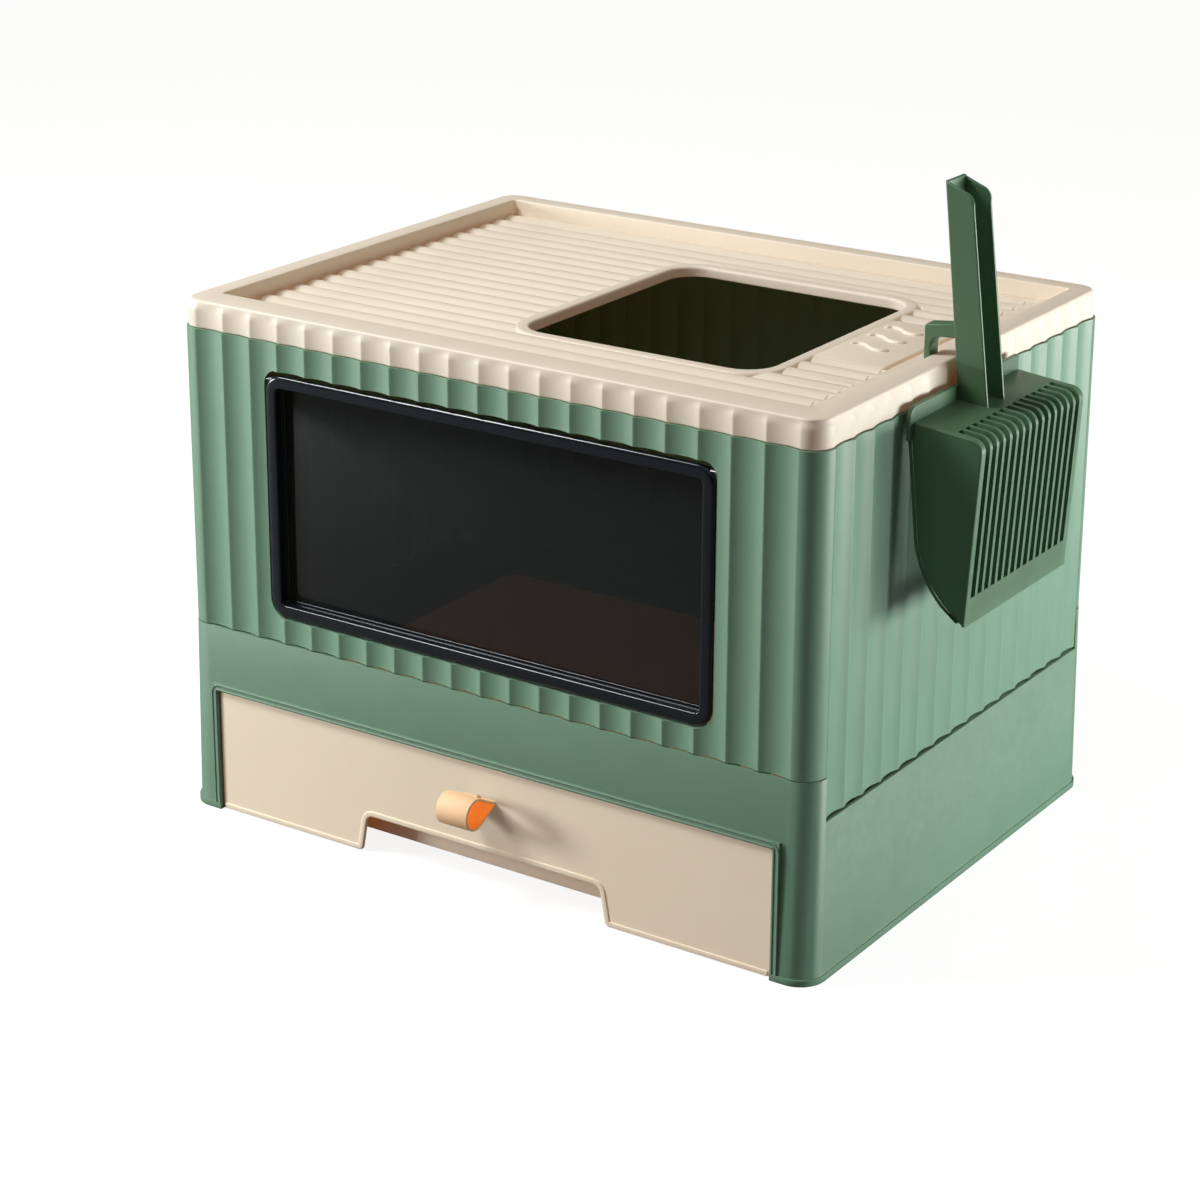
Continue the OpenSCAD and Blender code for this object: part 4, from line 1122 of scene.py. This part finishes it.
scoopSet = {
    "y0": -91.0, "y1": 55.0, "wall": 2.2, "soft": 1.05, "tuck": 1.3,
    "back": 259.0, "front": 309.8, "top": 350.4, "frontRound": 8.5, "fall": 3.0,
    "tip": (302.2, 222.2), "backBend": (267.0, 272.0), "backPull": (273.0, 241.0),
    "slots": 15, "slotWide": 5.9, "pitch": 141.6 / 15.5, "slotBack": 289.0, "slotLow": 241.0,
    "slotStart": 0.75, "slotShift": 0.5,             # the first slot's middle, in pitches and back again
    "finDeep": 9.0, "finWide": 1.8, "finStart": 1.2, "noseBack": 0.4, "heelRise": 1.2,
    "finSoft": 0.3, "bead": 1.6, "beadStart": 2.0, "beadFade": 16.0, "beadTop": (259.3, 346.4),
    "beadAcross": (-1.3, 0.6), "beadSoft": 0.4,
}
handleSet = {"y0": -30.5, "y1": -5.5, "foot": 261.0, "top": 245.2, "footZ": 348.5, "topZ": 492.8,
             "deep": 21.0, "wall": 2.2, "round": 9.0, "drop": 5.5, "soft": 0.9,
             "webIn": 0.4, "webSoft": 0.3, "crown": 0.6}
hookSet = {"y0": -27.5, "y1": -15.5, "x0": 233.0, "x1": 237.4, "foot": 360.8, "arch": 389.5, "archRound": 7.5,
           "top": 398.0, "reach": 257.5, "archRise": 1.0, "topRise": 1.5, "lean": 1.4,
           "shoulder": 2.6, "shoulderRound": 1.2, "soft": 0.8}
flangeSet = {"x0": 258.1, "x1": 261.2, "y0": -95.2, "y1": 54.6, "low": 348.0, "top": 361.8, "round": 7.0,
             "corner": 1.0, "tongue": 5.0, "tongueFoot": 4.4, "tongueDrop": 8.0, "soft": 0.6}


def basketProfile(s):
    # top face falling a little forwards, round front edge, front plate down to the tip
    r, tip = s["frontRound"], np.array(s["tip"])
    lean = math.degrees(math.atan2(s["front"] - tip[0], s["top"] - tip[1]))
    nose = arcPoints((s["front"] - r - s["noseBack"], s["top"] - s["fall"] - r), r, 86, -lean, 10)
    heel = np.array([s["back"], s["top"] + s["heelRise"]])
    top = heel + (nose[0] - heel) * np.linspace(0, 1, 9)[:-1, None]
    down = nose[-1] + (tip - nose[-1]) * np.linspace(0, 1, 13)[1:, None]
    return np.concatenate([top, nose, down])


def slotPlaces(s):
    # the middles of the slots, one pitch apart
    return s["y0"] + s["wall"] + (np.arange(s["slots"]) + s["slotStart"]) * s["pitch"] - s["slotShift"]


def slotRows(path, s):
    # splits the profile at both ends of the slots
    back = np.argmax(path[:, 0] > s["slotBack"])
    share = (s["slotBack"] - path[back - 1, 0]) / (path[back, 0] - path[back - 1, 0])
    first = path[back - 1] + (path[back] - path[back - 1]) * share
    low = len(path) - 1 - np.argmax(path[::-1, 1] > s["slotLow"])
    share = (s["slotLow"] - path[low, 1]) / (path[low + 1, 1] - path[low, 1])
    last = path[low] + (path[low + 1] - path[low]) * share
    return np.concatenate([path[:back], [first], path[back:low + 1], [last], path[low + 1:]]), back, low + 2


def slottedShell(s):
    # the bent plate as a sheet with its slots left out, and the same sheet moved in by the wall
    path, first, last = slotRows(basketProfile(s), s)
    middles = slotPlaces(s)
    half = s["slotWide"] / 2
    cuts = np.stack([middles - half, middles + half], axis=-1).ravel()
    y = np.concatenate([[s["y0"] + s["tuck"]], cuts, [s["y1"] - s["tuck"]]])
    inner = offsetPath(path, s["wall"])
    keep = np.ones((len(path) - 1, len(y) - 1), bool)
    keep[first:last, 1::2] = False

    def sheet(flat):
        return np.stack(np.broadcast_arrays(flat[:, None, 0], y[None], flat[:, None, 1]), axis=-1)

    return closedPair(turned(grid(sheet(path), keep=keep)), grid(sheet(inner), keep=keep))


def basketSide(s):
    # the profile of the bent plate, closed by a straight back and one curve to the tip
    path = basketProfile(s)
    t = np.linspace(0, 1, 14)[1:-1, None]
    tip, pull, bend = (np.array(s[k]) for k in ("tip", "backPull", "backBend"))
    curve = (1 - t) ** 2 * tip + 2 * t * (1 - t) * pull + t * t * bend
    return np.concatenate([path[:-1], [tip], curve, [bend]])


def backEdge(s):
    # narrow bead along the back of a side wall, growing from nothing at the tip
    outline = basketSide(s)
    path = outline[len(basketProfile(s)):]
    path = np.concatenate([path, [s["beadTop"]]])
    gone = np.linalg.norm(path - path[0], axis=1)
    wide = np.clip((gone + s["beadStart"]) / s["beadFade"], 0, 1)[:, None] * s["bead"]
    return np.concatenate([path, offsetPath(path, -wide)[::-1]])


def handleSide(s):
    # one wall of the channel: its upper edge slopes, then turns down in a round corner
    outerTop = s["top"] + s["deep"]
    corner = arcPoints((outerTop - s["round"], s["topZ"] - s["drop"] - s["round"]), s["round"], 78, -8, 9)
    return np.concatenate([[(s["foot"] + s["deep"], s["footZ"]), (s["foot"], s["footZ"]),
                            (s["top"], s["topZ"])], corner])


def handleShells(s):
    # two side walls and the web between their backs make a channel
    shells = []
    for y0, y1 in ((s["y0"], s["y0"] + s["wall"]), (s["y1"] - s["wall"], s["y1"])):
        shells.append(plate(handleSide(s), y0, y1, s["soft"], alongY))
    web = [(s["foot"], s["footZ"]), (s["foot"] + s["wall"], s["footZ"]),
           (s["top"] + s["wall"], s["topZ"] - s["crown"]), (s["top"] + s["wall"] / 2, s["topZ"]),
           (s["top"], s["topZ"] - s["crown"] / 2)]
    shells.append(plate(web, s["y0"] + s["webIn"], s["y1"] - s["webIn"], s["webSoft"], alongY))
    return shells


def hookOutline(s):
    # leg down into the pocket and bar to the handle, with a round arch between them
    r, q = s["archRound"], s["shoulderRound"]
    return np.concatenate([[(s["x0"], s["foot"]), (s["x1"], s["foot"])],
                           arcPoints((s["x1"] + r, s["arch"] - r), r, 180, 90, 7),
                           [(s["reach"], s["arch"] + s["archRise"]),
                            (s["reach"] - s["lean"], s["top"] + s["topRise"])],
                           arcPoints((s["x0"] + q, s["top"] - s["shoulder"]), q, 100, 180, 3)])


def flangeOutline(s):
    # strip behind the basket's top with its left end rounded and drawn down
    r, corner, foot = s["round"], s["corner"], s["low"] - s["tongueDrop"]
    return np.concatenate([arcPoints((s["y0"] + r, s["top"] - r), r, 180, 90, 8),
                           [(s["y1"] - corner, s["top"]), (s["y1"], s["top"] - corner), (s["y1"], s["low"]),
                            (s["y0"] + s["tongue"], s["low"]), (s["y0"] + s["tongueFoot"], foot),
                            (s["y0"], foot)]])


def scoopShells():
    # slotted plate, side walls with a bead, a fin behind each bar, handle, hook and flange
    s, h, k, f = scoopSet, handleSet, hookSet, flangeSet
    shells = [slottedShell(s)]
    for y0 in (s["y0"], s["y1"] - s["wall"]):
        shells.append(plate(basketSide(s), y0, y0 + s["wall"], s["soft"], alongY))
    beadOut, beadIn = s["beadAcross"]
    shells.append(plate(backEdge(s), s["y0"] + beadOut, s["y0"] + beadIn, s["beadSoft"], alongY))
    path, first, last = slotRows(basketProfile(s), s)
    spine = path[first - 1:last + 2]
    fin = np.concatenate([offsetPath(spine, s["finStart"]), offsetPath(spine, s["finDeep"])[::-1]])
    for y in slotPlaces(s)[:-1] + s["pitch"] / 2:
        shells.append(plate(fin, y - s["finWide"] / 2, y + s["finWide"] / 2, s["finSoft"], alongY))
    shells += handleShells(h)
    shells.append(plate(hookOutline(k), k["y0"], k["y1"], k["soft"], alongY))
    shells.append(plate(flangeOutline(f), f["x0"], f["x1"], f["soft"], alongX))
    return shells


addPiece("scoop_shell", scoopShells(), "scoopGreen", "scoop", ("scoop",), sharp=40)
print("scoop ready")


# base, drawer, strap and pins

drawerLow, drawerHigh = nodeBox("drawer")
drawerSet = {
    "half": drawerHigh[0], "low": drawerLow[2], "high": drawerHigh[2], "face": drawerLow[1], "wall": 2.4,
    "notch": 97.0, "notchHigh": 29.0, "slope": 5.0, "notchTop": 6.0, "notchFoot": 3.5, "corner": 2.5,
    "recess": 0.7, "bead": 1.9, "beadIn": 2.0, "beadBoxy": 0.5, "soft": 0.5, "edge": 0.6, "overlap": 0.3,
    "trayHalf": 220.0, "trayFront": 20.4, "trayCorner": 12.0, "rim": 5.0, "trayLow": 7.9, "trayHigh": 81.2,
    "floorIn": 0.8, "floorCorner": 11.0, "floorSoft": 0.3, "bridge": 1.2,
    "skid": 9.0, "skidX": 208.0, "skidLow": 3.2, "skidSoft": 0.8,
    "tabZ": 66.0, "earHalf": 13.2, "ear": 3.0, "earHigh": 3.7, "earDeep": 10.6,
}


def drawerFront(s):
    # the plate with its grip notch, and the raised bead along its lower edge and round the notch
    low, high, foot = s["low"], s["notchHigh"], s["notch"] + s["slope"]
    edge = [(-s["half"], low), (-foot, low), (-s["notch"], high), (s["notch"], high), (foot, low),
            (s["half"], low), (s["half"], s["high"]), (-s["half"], s["high"])]
    radii = [s["corner"], s["notchFoot"], s["notchTop"], s["notchTop"], s["notchFoot"]] + [s["corner"]] * 3
    outline = roundedPath(edge, radii)
    plateShell = plate(outline, s["face"] + s["recess"], s["face"] + s["wall"], s["soft"], alongY)
    d = s["beadIn"]
    line = [(-s["half"] + d, low + d), (-foot - d, low + d), (-s["notch"] - d, high + d),
            (s["notch"] + d, high + d), (foot + d, low + d), (s["half"] - d, low + d)]
    wide, narrow = s["notchTop"] + d, max(s["notchFoot"] - d, 1.0)
    path = roundedPath(line, [0, narrow, wide, wide, narrow, 0], closed=False)
    bead = sweep(alongY(path, s["face"] + s["recess"]), (0, 1, 0), s["bead"], s["recess"] / s["bead"],
                 s["beadBoxy"])
    return [plateShell, bead]


def drawerShells(s):
    # the front, the tray behind it with its rim, the bridge between them, skids and the pin's ears
    front, back = s["face"] + s["trayFront"], drawerHigh[1] - s["rim"]
    middle, halfY = (front + back) / 2, (back - front) / 2
    wall, low, high = s["wall"], s["trayLow"], s["trayHigh"]
    centres, ways = outlineLoop(s["trayHalf"], halfY, s["trayCorner"])
    rim, soft, edge = s["rim"], s["soft"], s["edge"]
    ring = [(-wall, low + 0.2), (-1.0, low), (0, low + 1.0), (0, high - wall - edge), (edge, high - wall),
            (rim - soft, high - wall), (rim, high - wall + soft), (rim, high - edge), (rim - edge, high),
            (0.4 - wall, high), (-wall, high - soft)]
    shells = drawerFront(s)
    shells.append(loopShell(centres + (0, middle), ways, s["trayCorner"], ring, lying))
    floorX, floorFront, floorBack = s["trayHalf"] - s["floorIn"], front + s["floorIn"], back - s["floorIn"]
    floor = roundedPath([(-floorX, floorFront), (floorX, floorFront), (floorX, floorBack),
                         (-floorX, floorBack)], [s["floorCorner"]] * 4)
    shells.append(plate(floor, low + 0.1, low + wall, s["floorSoft"], level))
    inside = s["face"] + wall - s["overlap"]
    shells.append(roundBox((-s["trayHalf"], inside, high - wall),
                           (s["trayHalf"], front + s["bridge"], high), soft))
    for side in (-1, 1):
        x = side * s["skidX"]
        shells.append(roundBox((x - s["skid"] / 2, front + s["trayCorner"], s["skidLow"]),
                               (x + s["skid"] / 2, back - s["trayCorner"], low + 0.4), s["skidSoft"]))
        ends = sorted((side * s["earHalf"], side * (s["earHalf"] + s["ear"])))
        shells.append(roundBox((ends[0], inside, s["tabZ"] - s["earHigh"]),
                               (ends[1], inside + s["earDeep"], s["tabZ"] + s["earHigh"]), soft))
    return shells


addPiece("drawer_shell", drawerShells(drawerSet), "drawerBeige", "drawer", ("drawer",), sharp=40)

baseLow = nodeBox("base_frame")[0]
baySet = {"half": drawerSet["half"] + 0.9, "top": drawerSet["high"] + 0.9, "y": baseLow[1] + 0.7,
          "near": 1.1, "far": 4.6, "size": 0.75, "flat": 0.9, "corner": 1.5, "outerCorner": 6.5,
          "foot": 1.0}


def bayBeads(s):
    # two fine ridges round the drawer bay, the outer one with rounder corners
    shells = []
    for out, r in ((s["near"], s["corner"]), (s["far"], s["outerCorner"])):
        x, top = s["half"] + out, s["top"] + out
        corners = [(-x, s["foot"]), (-x, top), (x, top), (x, s["foot"])]
        path = roundedPath(corners, [0, r, r, 0], closed=False)
        shells.append(sweep(alongY(path, s["y"]), (0, 1, 0), s["size"], s["flat"]))
    return shells


addPiece("bay_beads", bayBeads(baySet), "baseGreen", "base")
softCopy("base_frame", "baseGreen", "base", 0.7)

strapSet = {"face": drawerLow[1], "loop": 21.0, "loopRadius": 10.3, "pin": 9.0, "eyeRadius": 2.75, "z": 66.0,
            "half": 13.0, "thick": 2.0, "round": 0.7, "runs": (-0.6, 1.6, 3.8), "runEnd": 1.0,
            "gap": 0.02}                   # the two runs don't quite touch
# the shade values size a dark bar painted as the shade in the eyelet's hole
eyeletSet = {"y": strapSet["face"] - 8.0, "z": strapSet["z"] + 4.6, "x": 4.0, "up": (0.0, 0.465, 0.885),
             "rise": 2.6, "radius": 2.3, "shadeRise": 2.8, "shadeRadius": 1.2, "shadeSoft": 0.1}


def strapPath(s):
    # a big circle in front and two flat runs to a small circle round the pin, as (y, z)
    split = s["thick"] / 2 + s["gap"]
    lean = np.arccos((s["loopRadius"] - split) / (s["loop"] - s["runEnd"]))
    loop = np.linspace(lean, 2 * np.pi - lean, 49)
    front = np.stack([-s["loop"] + s["loopRadius"] * np.cos(loop), s["loopRadius"] * np.sin(loop)], axis=-1)
    pinch = np.arcsin(split / s["eyeRadius"])
    eye = np.linspace(-np.pi + pinch, np.pi - pinch, 25)
    back = np.stack([s["pin"] + s["eyeRadius"] * np.cos(eye), s["eyeRadius"] * np.sin(eye)], axis=-1)
    run = np.array([(y, -split) for y in s["runs"]])
    path = np.concatenate([front, run, back, run[::-1] * (1, -1)])
    return path + (s["face"], s["z"])


def strapShell(s):
    # a flat section with round edges carried round the path
    path = strapPath(s)
    way = np.roll(path, -1, axis=0) - np.roll(path, 1, axis=0)
    way /= np.linalg.norm(way, axis=1)[:, None]
    out = np.stack([-way[:, 1], way[:, 0]], axis=-1)
    bend = np.linspace(0, np.pi / 2, 5)
    halfX, halfT, r = s["half"], s["thick"] / 2, s["round"]
    section = np.concatenate([np.stack([sx * (halfX - r) + r * np.cos(bend + k * np.pi / 2),
                                        st * (halfT - r) + r * np.sin(bend + k * np.pi / 2)], axis=-1)
                              for k, (sx, st) in enumerate([(1, 1), (-1, 1), (-1, -1), (1, -1)])])
    flat = path[:, None] + out[:, None] * section[None, :, 1:]
    x = np.broadcast_to(section[None, :, :1], flat[..., :1].shape)
    return grid(np.concatenate([x, flat], axis=-1), wrapRows=True, wrapColumns=True)


def eyeletPieces(s):
    # a small rivet through the strap's upper run, square to it; in its middle a dark bar is painted shade
    # that stands in for the hole
    foot, up = np.array([s["x"], s["y"], s["z"]]), np.array(s["up"])
    ring = roundBar(foot, foot + s["rise"] * up, s["radius"])
    hole = roundBar(foot, foot + s["shadeRise"] * up, s["shadeRadius"], s["shadeSoft"])
    addPiece("strap_eyelet", [ring], "strapOrange", "drawer")
    # painted shade: a solid dark bar where the eyelet's hole would be
    addPiece("strap_eyelet_painted_shade", [hole], "frameBlack", "drawer")


strap = addPiece("pull_strap", [strapShell(strapSet)], "strapOrange", "drawer", ("pull_tab",), sharp=60)
strap.visible_diffuse = False              # its bright top would light the drawer front
eyeletPieces(eyeletSet)

for pinNode in ("front_hinge_pins", "back_hinge_pins", "left_hinge_pins", "right_hinge_pins",
                "door_hinge_pins", "pull_tab_pin"):
    softCopy(pinNode, "pinSteel", "drawer" if pinNode == "pull_tab_pin" else "base", 0.25)
print("other pieces ready")
